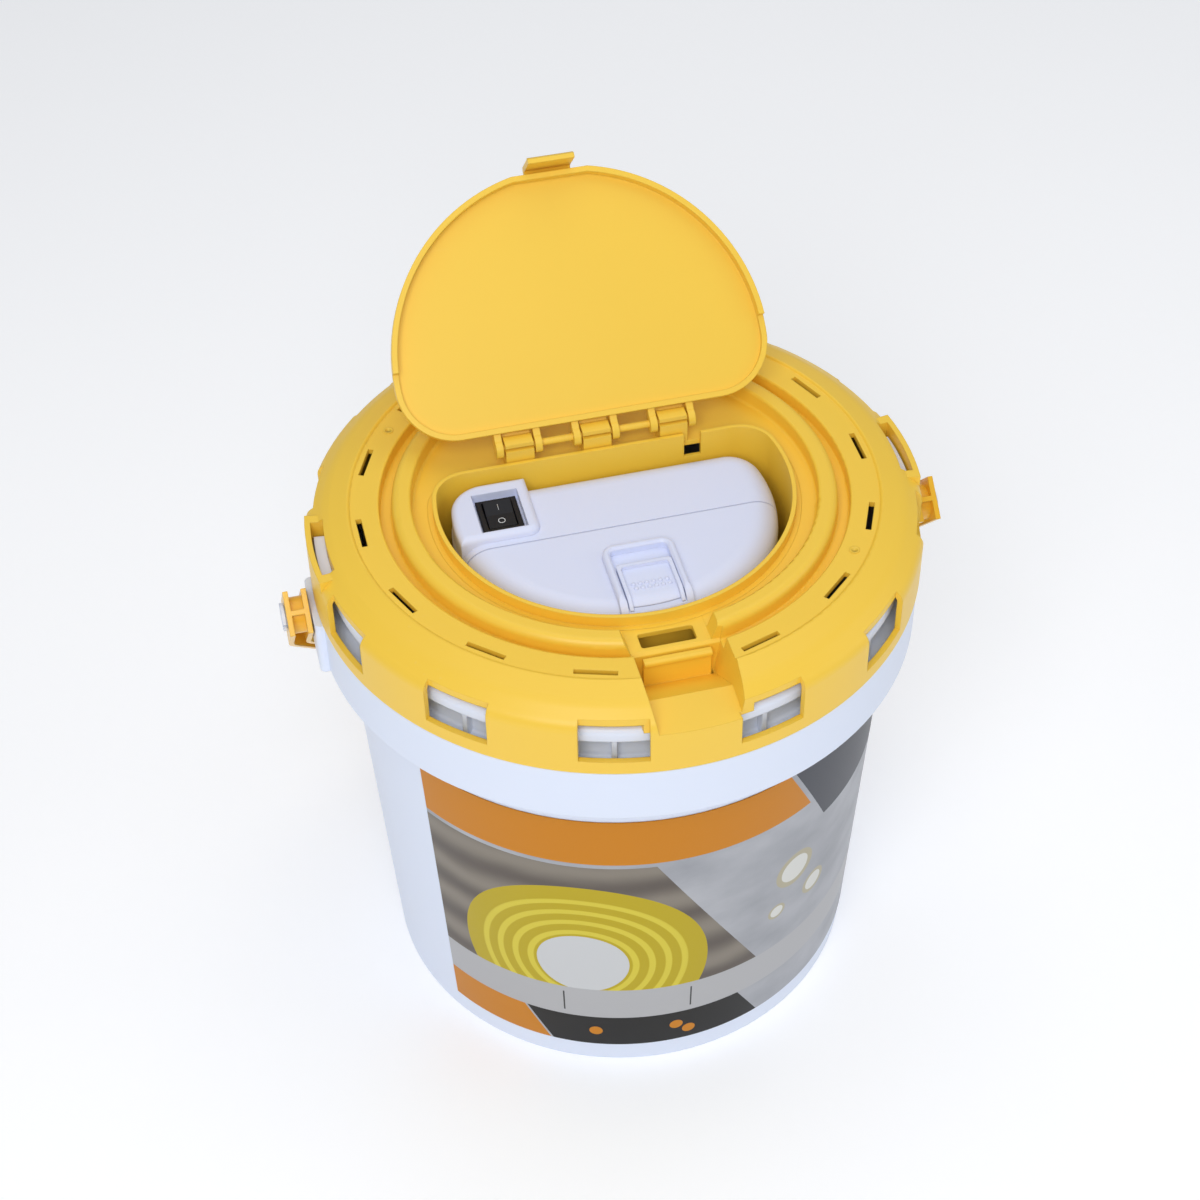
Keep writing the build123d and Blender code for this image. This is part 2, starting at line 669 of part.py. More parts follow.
def latch_block():
    """The material under the saddle and the finger notch, before they are cut."""
    outer = NOTCH_HALF_WIDTH + NOTCH_FLARE + LID_WALL
    pit_low = PLATE_LOW - PIT_DEPTH - LID_WALL
    slope = [
        (SADDLE_FRONT + LID_WALL, pit_low),
        (PLATE_FRONT - 1, pit_low),
        (NOTCH_RISE_END, STOP_LOW),
        (-SKIRT_RADIUS, STOP_LOW),
        (-SKIRT_RADIUS, RING_TOP),
        (-LIP_RADIUS + WELL_WALL, RING_TOP),
        (-LIP_RADIUS + WELL_WALL, DECK_TOP - LID_WALL),
        (SADDLE_FRONT + LID_WALL, DECK_TOP - LID_WALL),
    ]
    return side_prism(slope, LATCH_X - outer, LATCH_X + outer)


def notch_cut():
    """The cutter for the finger notch: flared sides over a floor that climbs to the skirt."""
    beyond = -SKIRT_RADIUS - 2
    above = RING_TOP + 2
    slope = [
        (SADDLE_FRONT, PLATE_LOW),
        (PLATE_FRONT, PLATE_LOW),
        (NOTCH_RISE_END, NOTCH_OUTER_HEIGHT),
        (beyond, NOTCH_OUTER_HEIGHT - 1.2),
        (beyond, above),
        (SADDLE_FRONT + SADDLE_CHAMFER, above),
        (SADDLE_FRONT + SADDLE_CHAMFER, SADDLE_TOP),
        (SADDLE_FRONT, SADDLE_TOP - SADDLE_CHAMFER),
    ]
    reach = NOTCH_HALF_WIDTH + NOTCH_FLARE
    flare = make_face(Polyline(
        (LATCH_X - NOTCH_HALF_WIDTH, beyond, PLATE_LOW - 1),
        (LATCH_X + NOTCH_HALF_WIDTH, beyond, PLATE_LOW - 1),
        (LATCH_X + reach, beyond, above),
        (LATCH_X - reach, beyond, above),
        close=True,
    ))
    sides = extrude(flare, -beyond, dir=(0, 1, 0))
    return side_prism(slope, LATCH_X - reach, LATCH_X + reach) & sides


def saddle_cut():
    """The cutter that interrupts the ring, its ends sloping outward."""
    top = SADDLE_HALF_WIDTH + SADDLE_FLARE
    start = SADDLE_FRONT - 1
    face = make_face(Polyline(
        (-SADDLE_HALF_WIDTH, start, SADDLE_TOP),
        (SADDLE_HALF_WIDTH, start, SADDLE_TOP),
        (top, start, RING_TOP + 1),
        (-top, start, RING_TOP + 1),
        close=True,
    ))
    return extrude(face, -LIP_RADIUS - start + 1, dir=(0, 1, 0))


def latch_slots():
    """The cutters for the hook slot and for the pit that the latch plate stands in."""
    middle = HOOK_SLOT_BACK - HOOK_SLOT_LENGTH / 2
    opening = RectangleRounded(2 * HOOK_SLOT_HALF_WIDTH, HOOK_SLOT_LENGTH, HOOK_SLOT_CORNER)
    hook = Pos(0, middle, DECK_TOP - 3 * LID_WALL) * extrude(opening, 4 * LID_WALL)
    half = NOTCH_HALF_WIDTH - 0.1
    pit = block((LATCH_X - half, LATCH_X + half), (PLATE_FRONT, SADDLE_FRONT), (PLATE_LOW - PIT_DEPTH, PLATE_LOW + 1))
    return hook + pit


def latch_plate():
    """The thin spring plate in front of the saddle, with the rolled lip on its top edge."""
    back = PLATE_FRONT + PLATE_THICKNESS
    width = (LATCH_X - PLATE_HALF_WIDTH, LATCH_X + PLATE_HALF_WIDTH)
    plate = block(width, (PLATE_FRONT, back), (PLATE_LOW - PIT_DEPTH - 1, PLATE_TOP - 0.5))
    lip = block(width, (PLATE_FRONT - PLATE_LIP, back), (PLATE_TOP - PLATE_LIP_HEIGHT, PLATE_TOP))
    return plate + fillet(lip.edges().filter_by(Axis.X).group_by(Axis.Y)[0], 1.0)


def hinge_clip(x):
    """One snap clip: front plate, curled hook over the rod, and the buttress that stops the lid."""
    lean = radians(FLIP_OPEN_ANGLE - 90)
    rise = 1 / tan(lean)
    stop_y = 6.6
    corner = ROD_Y - FLIP_BACK
    stop_line = 3.12 - rise * 3.80 - 0.30
    outline = [
        (-3.5, DECK_TOP - ROD_Z - 0.5),
        (-3.5, 0.6),
        (-1.5, 0.6),
        (-1.5, 1.5),
        (-2.7, 1.5),
        (-2.7, 3.0),
        (1.8, 3.4),
        (3.4, 2.2),
        (4.1, stop_line + rise * 4.1),
        (stop_y, stop_line + rise * stop_y),
        (stop_y, DECK_TOP - ROD_Z - 0.5),
    ]
    points = [(ROD_Y + y, ROD_Z + z) for y, z in outline]
    clip = side_prism(points, x - CLIP_WIDTH / 2, x + CLIP_WIDTH / 2)
    bore = lying_drum(ROD_RADIUS + ROD_FIT, x - CLIP_WIDTH, x + CLIP_WIDTH, ROD_Y, ROD_Z)
    mouth = block((x - CLIP_WIDTH, x + CLIP_WIDTH), (ROD_Y - corner, ROD_Y), (ROD_Z + 0.6, ROD_Z + 1.5))
    return clip - bore - mouth


def make_lid():
    """The one-piece lid without its well."""
    lid = lid_shell()
    for angle in vent_angles():
        lid += radial_rib(angle + 12)
    lid += latch_block() & lid_envelope()
    lid -= lip_flange(PLATE_LOW, LIP_TOP)
    for angle in (0, 180):
        lid += ear_frame(angle)
    for angle in (0, 180):
        lid -= ear_opening(angle)
    for angle in window_angles():
        lid -= skirt_window(angle)
    for angle in vent_angles():
        lid -= vent_slot(angle)
    lid = lid - saddle_cut() - notch_cut() - latch_slots()
    lid += latch_plate()
    for bay in CLIP_BAYS:
        lid += hinge_clip(bay * ARM_PITCH)
    return lid


def make_lid_well():
    """The D-shaped well that holds the aerator, with its raised lip and its openings."""
    outer = d_prism(LIP_RADIUS, LIP_BACK, LIP_CORNER, WELL_FLOOR - LID_WALL, LIP_TOP)
    outer += lip_flange(DECK_TOP - LID_WALL, DECK_TOP)
    return outer - well_bore(WELL_FLOOR, LIP_TOP + 1) - well_openings()


# ================================================================ flip lid
def flip_outline(inset, low, high):
    """The flip lid's D with the flat by the tab, shrunk by an inset."""
    shape = d_prism(FLIP_RADIUS - inset, FLIP_BACK - inset, FLIP_CORNER - inset, low, high)
    reach = 2 * FLIP_RADIUS
    return shape & block((-reach, reach), (FLIP_FRONT + inset, reach), (low, high))


def flip_panel():
    """The panel with its raised rim, and the deeper skirt that drops into the trough."""
    top = FLIP_UNDER + FLIP_THICKNESS
    panel = flip_outline(0, FLIP_RIM_LOW, top)
    panel = fillet(panel.edges().group_by(Axis.Z)[-1], 1.0)
    panel -= flip_outline(FLIP_RIM_WIDTH, FLIP_RIM_LOW - 1, FLIP_UNDER)
    skirt = flip_outline(0, FLIP_SKIRT_LOW, FLIP_RIM_LOW + 0.5)
    skirt -= flip_outline(FLIP_RIM_WIDTH, FLIP_SKIRT_LOW - 1, FLIP_RIM_LOW + 1)
    reach = 2 * FLIP_RADIUS
    skirt &= block((-reach, reach), (-reach, FLIP_SKIRT_START), (0, 2 * FLIP_RIM_LOW))
    return panel + skirt


def flip_tab():
    """The tab and its hook, whose barb catches under the saddle's edge."""
    top = FLIP_UNDER + FLIP_THICKNESS
    outline = [
        (FLIP_FRONT + 2, top),
        (TAB_FRONT + 1, top),
        (TAB_FRONT, top - 1),
        (TAB_FRONT, HOOK_LOW + HOOK_BARB_HEIGHT),
        (TAB_FRONT - HOOK_BARB, HOOK_LOW + HOOK_BARB_HEIGHT),
        (TAB_FRONT + 0.4, HOOK_LOW),
        (TAB_FRONT + HOOK_THICKNESS, HOOK_LOW),
        (TAB_FRONT + HOOK_THICKNESS, FLIP_UNDER - 1.2),
        (TAB_FRONT + HOOK_THICKNESS + 1.2, FLIP_UNDER),
        (FLIP_FRONT + 2, FLIP_UNDER),
    ]
    return side_prism(outline, -TAB_HALF_WIDTH, TAB_HALF_WIDTH)


def flip_arm(x):
    """One hinge arm, rounded round the rod."""
    low = FLIP_UNDER - 0.8
    start, end = x - ARM_WIDTH / 2, x + ARM_WIDTH / 2
    eye = lying_drum(ARM_END_RADIUS, start, end, ROD_Y, ROD_Z)
    neck = block((start, end), (FLIP_BACK - 1.5, ROD_Y), (low, ROD_Z + 1.4))
    return eye + neck


def make_flip_lid():
    """The flip lid, modelled shut and then opened on to its stop."""
    lid = flip_panel() + flip_tab()
    arms = [(number - 2.5) * ARM_PITCH for number in range(6)]
    for x in arms:
        lid += flip_arm(x)
    end = arms[-1] + ARM_WIDTH / 2
    lid += lying_drum(ROD_RADIUS, -end, end, ROD_Y, ROD_Z)
    opened = Rot(-FLIP_OPEN_ANGLE, 0, 0) * Pos(0, -ROD_Y, -ROD_Z) * lid
    return Pos(0, ROD_Y, ROD_Z) * opened


# ================================================================ aerator housing
def case_prism(inset, low, high):
    """The housing's D, shrunk by an inset."""
    return d_prism(CASE_RADIUS - inset, CASE_BACK - inset, CASE_CORNER - inset, low, high)


def make_case():
    """The D-shaped tub with its partition, keeper, screw holes and outlet hole."""
    case = case_prism(0, CASE_LOW, CASE_RIM) - case_prism(CASE_WALL, FLOOR_TOP, CASE_RIM + 1)
    partition = block((-CASE_RADIUS, CASE_RADIUS), (PARTITION_FRONT, PARTITION_BACK), (CASE_LOW, CASE_RIM))
    case += partition & case_prism(1, CASE_LOW, CASE_RIM)
    keeper = block(
        (LATCH_X - TONGUE_WIDTH / 2, LATCH_X + TONGUE_WIDTH / 2),
        (-CASE_RADIUS, KEEPER_EDGE),
        (KEEPER_TOP - KEEPER_THICKNESS, KEEPER_TOP),
    )
    case += keeper & case_prism(1, CASE_LOW, CASE_RIM)
    for x, y in SCREW_SPOTS:
        case -= drum(SCREW_HEAD_RADIUS + 0.3, CASE_LOW - 1, FLOOR_TOP + 1, x, y)
    case -= drum(BARB_RADIUS + 0.1, CASE_LOW - 1, FLOOR_TOP + 1, YOKE_X, MOTOR_Y)
    wire_hole = block(
        (LEAD_X - 2, LEAD_X + 2),
        (PARTITION_FRONT - 1, PARTITION_BACK + 1),
        (FLOOR_TOP, FLOOR_TOP + 3),
    )
    return case - wire_hole


def make_columns():
    """The three hollow columns that the long screws reach up through."""
    columns = []
    for x, y in SCREW_SPOTS:
        column = drum(COLUMN_RADIUS, FLOOR_TOP, COLUMN_TOP, x, y)
        column -= drum(SCREW_HEAD_RADIUS + 0.3, FLOOR_TOP - 1, SCREW_SEAT, x, y)
        columns.append(column - drum(SCREW_RADIUS + 0.2, SCREW_SEAT - 1, COLUMN_TOP + 1, x, y))
    return Compound(children=columns)


def make_gasket():
    """The flat seal between the tub and the two top pieces."""
    inset = (CASE_WALL - GASKET_WIDTH) / 2
    ring = case_prism(inset, CASE_RIM, CAP_LOW) - case_prism(inset + GASKET_WIDTH, CASE_RIM - 1, CAP_LOW + 1)
    bar = block((-CASE_RADIUS, CASE_RADIUS), (PARTITION_FRONT, PARTITION_BACK), (CASE_RIM, CAP_LOW))
    return ring + (bar & case_prism(inset, CASE_RIM, CAP_LOW))


def rounded_cap(inset, top, rounding):
    """The housing's upper shape with its rounded top edge."""
    cap = case_prism(inset, CAP_LOW, top)
    return fillet(cap.edges().group_by(Axis.Z)[-1], rounding)


def cap_hollow():
    """The space inside the cap."""
    return rounded_cap(CASE_WALL, TOP_HEIGHT - CASE_WALL, TOP_ROUND - CASE_WALL)


def cap_half(y_range, wall_y_range):
    """One side of the seam: the outer shape in one range, hollowed in another."""
    reach = 2 * CASE_RADIUS
    levels = (CASE_RIM - 5, BOSS_TOP + 5)
    outer = rounded_cap(0, TOP_HEIGHT, TOP_ROUND) & block((-reach, reach), y_range, levels)
    return outer - (cap_hollow() & block((-reach, reach), wall_y_range, levels))


def switch_boss():
    """The raised surround of the switch, flush with the housing's side."""
    low = CAP_LOW + 2
    boss = block((-CASE_RADIUS - 5, BOSS_RIGHT), (BOSS_FRONT, CASE_BACK + 5), (low, BOSS_TOP))
    boss = fillet(boss.edges().filter_by(Axis.Z), BOSS_CORNER)
    boss &= case_prism(BOSS_INSET, low, BOSS_TOP)
    boss = fillet(boss.edges().group_by(Axis.Z)[-1], BOSS_ROUND)
    return boss - cap_hollow()


def centred_block(width, length, low, high):
    """A block centred on the switch."""
    return Pos(SWITCH_X, SWITCH_Y, (low + high) / 2) * Box(width, length, high - low)


def make_aerator_top():
    """The rear top shell with the switch surround and the pillars for the screws."""
    top = cap_half((PARTITION_FRONT, 2 * CASE_BACK), (PARTITION_FRONT + CASE_WALL, 2 * CASE_BACK))
    top += switch_boss()
    top -= centred_block(POCKET_WIDTH, POCKET_LENGTH, POCKET_FLOOR, BOSS_TOP + 1)
    top -= centred_block(SWITCH_WIDTH + 0.3, SWITCH_LENGTH + 0.3, SWITCH_LOW, POCKET_FLOOR + 1)
    inside = case_prism(1, COLUMN_TOP, CAP_LOW + 1) + rounded_cap(1, TOP_HEIGHT - 1, TOP_ROUND - 1)
    for x, y in SCREW_SPOTS:
        pillar = drum(COLUMN_RADIUS, COLUMN_TOP + 0.1, TOP_HEIGHT, x, y) & inside
        top += pillar - drum(SCREW_RADIUS, COLUMN_TOP, SCREW_TIP + 0.5, x, y)
    return top


def make_screws():
    """Three long-reach screws that pull the rear top down on to the tub."""
    screws = []
    for x, y in SCREW_SPOTS:
        shank = drum(SCREW_RADIUS - 0.05, SCREW_SEAT, SCREW_TIP, x, y)
        head = drum(SCREW_HEAD_RADIUS, SCREW_SEAT - SCREW_HEAD_HEIGHT, SCREW_SEAT, x, y)
        cross = Pos(x, y, SCREW_SEAT - SCREW_HEAD_HEIGHT) * (Box(3, 0.7, 1.6) + Box(0.7, 3, 1.6))
        screws.append(shank + head - cross)
    return Compound(children=screws)


# ================================================================ rocker switch
def make_switch_body():
    """The black switch: bezel, body, the opening the rocker tips in and its two pin holes."""
    bezel_top = POCKET_FLOOR + BEZEL_THICKNESS
    body = centred_block(BEZEL_WIDTH, BEZEL_LENGTH, POCKET_FLOOR, bezel_top)
    body = fillet(body.edges().group_by(Axis.Z)[-1], 0.5)
    body += centred_block(SWITCH_WIDTH, SWITCH_LENGTH, SWITCH_LOW, POCKET_FLOOR + 0.5)
    opening_width = ROCKER_WIDTH + 2 * ROCKER_WELL_GAP
    opening_length = ROCKER_LENGTH + 2 * ROCKER_WELL_GAP
    body -= centred_block(opening_width, opening_length, ROCKER_PIVOT - 6, bezel_top + 1)
    reach = ROCKER_WIDTH / 2 + ROCKER_PIN_LENGTH + 0.1
    return body - lying_drum(
        ROCKER_PIN_RADIUS + ROCKER_PIN_FIT,
        SWITCH_X - reach,
        SWITCH_X + reach,
        SWITCH_Y,
        ROCKER_PIVOT,
    )


def make_rocker():
    """The rocker: a shallow V over a rounded belly, pressed down at its front."""
    half = ROCKER_LENGTH / 2
    half_width = ROCKER_WIDTH / 2
    outline = [
        (-half, -0.8),
        (-half + 0.2, ROCKER_RISE),
        (0, ROCKER_RISE - 0.5),
        (half - 0.2, ROCKER_RISE),
        (half, -0.8),
        (half * 0.6, -2.6),
        (-half * 0.6, -2.6),
    ]
    rocker = side_prism(outline, SWITCH_X - half_width, SWITCH_X + half_width)
    reach = half_width + ROCKER_PIN_LENGTH
    rocker += lying_drum(ROCKER_PIN_RADIUS, SWITCH_X - reach, SWITCH_X + reach, 0, 0)
    return Pos(0, SWITCH_Y, ROCKER_PIVOT) * Rot(ROCKER_TILT, 0, 0) * rocker


def make_terminals():
    """Two flat tabs under the switch."""
    tabs = []
    for side in (-1, 1):
        tab = Pos(SWITCH_X, SWITCH_Y + side * TERMINAL_PITCH / 2, (TERMINAL_LOW + SWITCH_LOW) / 2)
        tabs.append(tab * Box(4.8, 0.8, SWITCH_LOW - TERMINAL_LOW))
    return Compound(children=tabs)


# ================================================================ battery cover and latch
def latch_frame():
    """The raised frame on the cover, rounded over at the front like the housing."""
    frame = block(
        (LATCH_X - FRAME_WIDTH / 2, LATCH_X + FRAME_WIDTH / 2),
        (-CASE_RADIUS - 5, FRAME_BACK),
        (CAP_LOW + 2, FRAME_TOP),
    )
    frame = fillet(frame.edges().filter_by(Axis.Z), FRAME_CORNER)
    frame = fillet(frame.edges().group_by(Axis.Z)[-1], FRAME_ROUND)
    return (frame & rounded_cap(FRAME_INSET, FRAME_TOP + 0.1, TOP_ROUND)) - cap_hollow()


def frame_recess():
    """The cutter for the recess that the latch slides in, open at the front."""
    width = FRAME_WIDTH - 2 * FRAME_WALL
    back = FRAME_BACK - FRAME_WALL
    length = CASE_RADIUS + 5 + back
    middle = back - length / 2
    corner = FRAME_CORNER - FRAME_WALL
    recess = extrude(RectangleRounded(width, length, corner), FRAME_TOP + 1 - RECESS_FLOOR)
    rim = extrude(
        RectangleRounded(width, length, corner),
        RECESS_CHAMFER + 0.5,
        taper=-45,
    )
    return Pos(LATCH_X, middle, RECESS_FLOOR) * recess + Pos(LATCH_X, middle, FRAME_TOP - RECESS_CHAMFER) * rim


def stem_slot():
    """The slot in the cover that the latch's stem slides in."""
    return block(
        (LATCH_X - TONGUE_WIDTH / 2 - 0.3, LATCH_X + TONGUE_WIDTH / 2 + 0.3),
        (TONGUE_TIP + STEM_THICKNESS - 0.3, TONGUE_TIP + 2 * STEM_THICKNESS + LATCH_TRAVEL + 0.4),
        (TOP_HEIGHT - 2 * CASE_WALL, FRAME_TOP),
    )


def make_battery_cover():
    """The lift-off cover in front of the seam, with its latch frame."""
    seam = SEAM_Y - SEAM_GAP / 2
    cover = cap_half((-2 * CASE_RADIUS, seam), (-2 * CASE_RADIUS, seam + 1))
    cover += latch_frame()
    post_low = CELL_TOP + CELL_NUB_HEIGHT + CONTACT_THICKNESS
    for side in (-1, 1):
        cover += drum(POST_RADIUS, post_low, TOP_HEIGHT - 1, side * CELL_X, CELL_Y)
    return cover - frame_recess() - stem_slot()


def pad_body():
    """The latch's tray: raised rims at the back and sides round a lower floor."""
    half = FRAME_WIDTH / 2 - FRAME_WALL - PAD_GAP
    low = RECESS_FLOOR + 0.1
    pad = block((LATCH_X - half, LATCH_X + half), (PAD_FRONT, PAD_BACK), (low, PAD_TOP))
    pad = fillet(pad.edges().filter_by(Axis.Z), PAD_RIM)
    tray = block((LATCH_X - half + PAD_RIM, LATCH_X + half - PAD_RIM), (PAD_FRONT - 1, PAD_BACK - PAD_RIM), (low, PAD_TOP + 1))
    tray = fillet(tray.edges().filter_by(Axis.Z), PAD_RIM)
    tray -= rounded_cap(FRAME_INSET, PAD_TOP - PAD_DEPTH, TOP_ROUND)
    return (pad & rounded_cap(FRAME_INSET, PAD_TOP + 0.1, TOP_ROUND)) - tray


def pad_bumps():
    """Two rows of grip bumps on the tray's floor and one on the pad's back face."""
    floor = PAD_TOP - PAD_DEPTH
    start = LATCH_X - PAD_BUMP_PITCH * (PAD_BUMP_COUNT - 1) / 2
    bumps = []
    for number in range(PAD_BUMP_COUNT):
        x = start + number * PAD_BUMP_PITCH
        bumps.append(Pos(x, PAD_BACK - 9.2, floor) * Sphere(PAD_BUMP_RADIUS))
        bumps.append(Pos(x + 0.5, PAD_BACK - 11.3, floor) * Sphere(PAD_BUMP_RADIUS))
    for number in range(1, PAD_BUMP_COUNT):
        x = start + number * PAD_BUMP_PITCH
        bumps.append(Pos(x, PAD_BACK, PAD_TOP - 1.5) * Sphere(PAD_BUMP_RADIUS * 0.8))
    return bumps


def make_latch():
    """The sliding thumb pad with its bumps, stem and tongue."""
    half_tongue = TONGUE_WIDTH / 2
    stem = block(
        (LATCH_X - half_tongue, LATCH_X + half_tongue),
        (TONGUE_TIP + STEM_THICKNESS, TONGUE_TIP + 2 * STEM_THICKNESS),
        (TONGUE_LOW, RECESS_FLOOR + 0.6),
    )
    tongue = block(
        (LATCH_X - half_tongue + 1, LATCH_X + half_tongue - 1),
        (TONGUE_TIP, TONGUE_TIP + 2 * STEM_THICKNESS),
        (TONGUE_LOW, TONGUE_LOW + 1.6),
    )
    latch = pad_body() + stem + tongue
    for bump in pad_bumps():
        latch += bump
    return latch


# ================================================================ cells and contacts
def make_cells():
    """Two upright D-size cells, bare."""
    cells = []
    for side in (-1, 1):
        can = drum(CELL_RADIUS, CELL_LOW, CELL_TOP, side * CELL_X, CELL_Y)
        can = fillet(can.edges(), 1.0)
        nub = drum(CELL_NUB_RADIUS, CELL_TOP - 1, CELL_TOP + CELL_NUB_HEIGHT, side * CELL_X, CELL_Y)
        cells.append(can + nub)
    return Compound(children=cells)


def make_bottom_contact():
    """The strip under the cells, with a tab that passes through the partition."""
    high = FLOOR_TOP + CONTACT_THICKNESS
    strip = block((-CELL_X - 7, CELL_X + 7), (CELL_Y - 7, CELL_Y + 7), (FLOOR_TOP, high))
    tab = block((LEAD_X - 1.6, LEAD_X + 1.6), (CELL_Y, PARTITION_BACK + 1.7), (FLOOR_TOP, high))
    return strip + tab


def make_springs():
    """One coil spring under each cell."""
    low = FLOOR_TOP + CONTACT_THICKNESS + SPRING_WIRE
    height = CELL_LOW - SPRING_WIRE - low
    springs = []
    for side in (-1, 1):
        path = Pos(side * CELL_X, CELL_Y, low) * Helix(height / SPRING_TURNS, height, SPRING_RADIUS)
        section = Plane(origin=path @ 0, z_dir=path % 0) * Circle(SPRING_WIRE)
        springs.append(sweep(section, path=path))
    return Compound(children=springs)


def make_top_contact():
    """The strip under the cover that joins the two cells."""
    low = CELL_TOP + CELL_NUB_HEIGHT
    return block((-CELL_X - 6, CELL_X + 6), (CELL_Y - 5, CELL_Y + 5), (low, low + CONTACT_THICKNESS))


# ================================================================ motor and pump
def make_motor():
    """The motor can with its end boss and flats."""
    end = MOTOR_START + MOTOR_LENGTH
    can = fillet(lying_drum(MOTOR_RADIUS, MOTOR_START, end, MOTOR_Y, MOTOR_Z).edges(), 1.0)
    boss = lying_drum(MOTOR_BOSS_RADIUS, MOTOR_START - 1.6, MOTOR_START + 1, MOTOR_Y, MOTOR_Z)
    cap = lying_drum(MOTOR_RADIUS - 3, end - 0.5, end + 1.2, MOTOR_Y, MOTOR_Z)
    bore = lying_drum(SHAFT_RADIUS + 0.05, MOTOR_START - 3, MOTOR_START + 6, MOTOR_Y, MOTOR_Z)
    return can + boss + cap - bore


def make_motor_bracket():
    """The cradle that carries the motor on the tub's floor."""
    half = MOTOR_RADIUS + 1.6
    start = MOTOR_START + 6
    end = MOTOR_START + 24
    seat = block((start, end), (MOTOR_Y - half + 1.2, MOTOR_Y + half), (FLOOR_TOP, MOTOR_Z + 3))
    seat -= lying_drum(MOTOR_RADIUS + 0.05, 0, 2 * MOTOR_LENGTH, MOTOR_Y, MOTOR_Z)
    hollow = block((start + 2, end - 2), (MOTOR_Y - half, MOTOR_Y + half + 1), (FLOOR_TOP - 1, FLOOR_TOP + 7))
    return seat - hollow


def make_shaft():
    """The motor's shaft."""
    return lying_drum(SHAFT_RADIUS, SHAFT_END, MOTOR_START + 5, MOTOR_Y, MOTOR_Z)


def make_crank():
    """The crank disc on the shaft, with the pin that drives the yoke."""
    end = SHAFT_END + CRANK_THICKNESS
    disc = lying_drum(CRANK_RADIUS, SHAFT_END, end, MOTOR_Y, MOTOR_Z)
    pin = lying_drum(PIN_RADIUS, PIN_END, SHAFT_END + 1, MOTOR_Y, MOTOR_Z + CRANK_THROW)
    bore = lying_drum(SHAFT_RADIUS, SHAFT_END - 1, end + 1, MOTOR_Y, MOTOR_Z)
    return disc + pin - bore


def make_yoke():
    """The window the crank pin turns in, and the stem down to the diaphragm."""
    half = YOKE_WINDOW / 2
    outer = half + YOKE_WALL
    x_range = (YOKE_X - YOKE_THICKNESS / 2, YOKE_X + YOKE_THICKNESS / 2)
    frame = block(x_range, (MOTOR_Y - outer, MOTOR_Y + outer), (MOTOR_Z - outer, MOTOR_Z + outer))
    frame -= block((x_range[0] - 1, x_range[1] + 1), (MOTOR_Y - half, MOTOR_Y + half), (MOTOR_Z - half, MOTOR_Z + half))
    stem_low = HEAD_TOP + DIAPHRAGM_THICKNESS
    stem = block(x_range, (MOTOR_Y - 1.5, MOTOR_Y + 1.5), (stem_low, MOTOR_Z - half - 0.5))
    foot = drum(4.0, stem_low, stem_low + 1.6, YOKE_X, MOTOR_Y)
    return frame + stem + foot


def make_diaphragm():
    """The rubber disc with its thick bead."""
    top = HEAD_TOP + DIAPHRAGM_THICKNESS
    disc = drum(DIAPHRAGM_RADIUS, HEAD_TOP, top, YOKE_X, MOTOR_Y)
    convolution = Pos(YOKE_X, MOTOR_Y, top) * Torus(DIAPHRAGM_RADIUS - 3, 0.9)
    above = drum(DIAPHRAGM_RADIUS, HEAD_TOP, HEAD_TOP + 4, YOKE_X, MOTOR_Y)
    return disc + (convolution & above)


def make_pump_head():
    """The valve chamber under the diaphragm."""
    head = drum(HEAD_RADIUS, FLOOR_TOP, HEAD_TOP, YOKE_X, MOTOR_Y)
    chamber = drum(HEAD_RADIUS - 3, FLOOR_TOP + 2.5, HEAD_TOP + 1, YOKE_X, MOTOR_Y)
    divider = block(
        (YOKE_X - 0.7, YOKE_X + 0.7),
        (MOTOR_Y - HEAD_RADIUS + 1, MOTOR_Y + HEAD_RADIUS - 1),
        (FLOOR_TOP, HEAD_TOP - 2.5),
    )
    outlet = drum(BARB_RADIUS + 0.05, FLOOR_TOP - 1, FLOOR_TOP + 2.0, YOKE_X, MOTOR_Y)
    return head - chamber + divider - outlet


def make_barb():
    """The outlet spigot through the tub's floor, with a collar below."""
    spigot = drum(BARB_RADIUS, BARB_LOW, FLOOR_TOP + 2.0, YOKE_X, MOTOR_Y)
    collar = drum(BARB_RADIUS + 1.4, TUBE_TOP + 0.1, CASE_LOW - 0.05, YOKE_X, MOTOR_Y)
    barb = spigot + collar
    return barb - drum(1.2, BARB_LOW - 1, FLOOR_TOP + 3, YOKE_X, MOTOR_Y)


def make_drop_tube():
    """The straight air tube from the barb down to the stone."""
    tube = drum(TUBE_RADIUS, TUBE_LOW, TUBE_TOP, YOKE_X, MOTOR_Y)
    return tube - drum(TUBE_BORE, TUBE_LOW - 1, TUBE_TOP + 1, YOKE_X, MOTOR_Y)


def make_stone():
    """The air stone with its nipple inside the tube."""
    stone = fillet(drum(STONE_RADIUS, STONE_LOW, STONE_TOP, YOKE_X, MOTOR_Y).edges(), 1.5)
    return stone + drum(TUBE_BORE - 0.1, STONE_TOP - 1, TUBE_LOW + 8, YOKE_X, MOTOR_Y)


def lead(points):
    """One insulated wire along straight runs and tangent arcs."""
    path = FilletPolyline(*points, radius=LEAD_BEND)
    section = Plane(origin=path @ 0, z_dir=path % 0) * Circle(LEAD_RADIUS)
    return sweep(section, path=path)


def make_positive_lead():
    """From the rear switch tab over the motor to its far end."""
    y = SWITCH_Y + TERMINAL_PITCH / 2
    x_end = MOTOR_START + MOTOR_LENGTH + 4
    level = MOTOR_Z + MOTOR_RADIUS + 4
    return lead([
        (SWITCH_X, y, TERMINAL_LOW),
        (SWITCH_X, y, level),
        (x_end, y, level),
        (x_end, y, MOTOR_Z + 2),
    ])


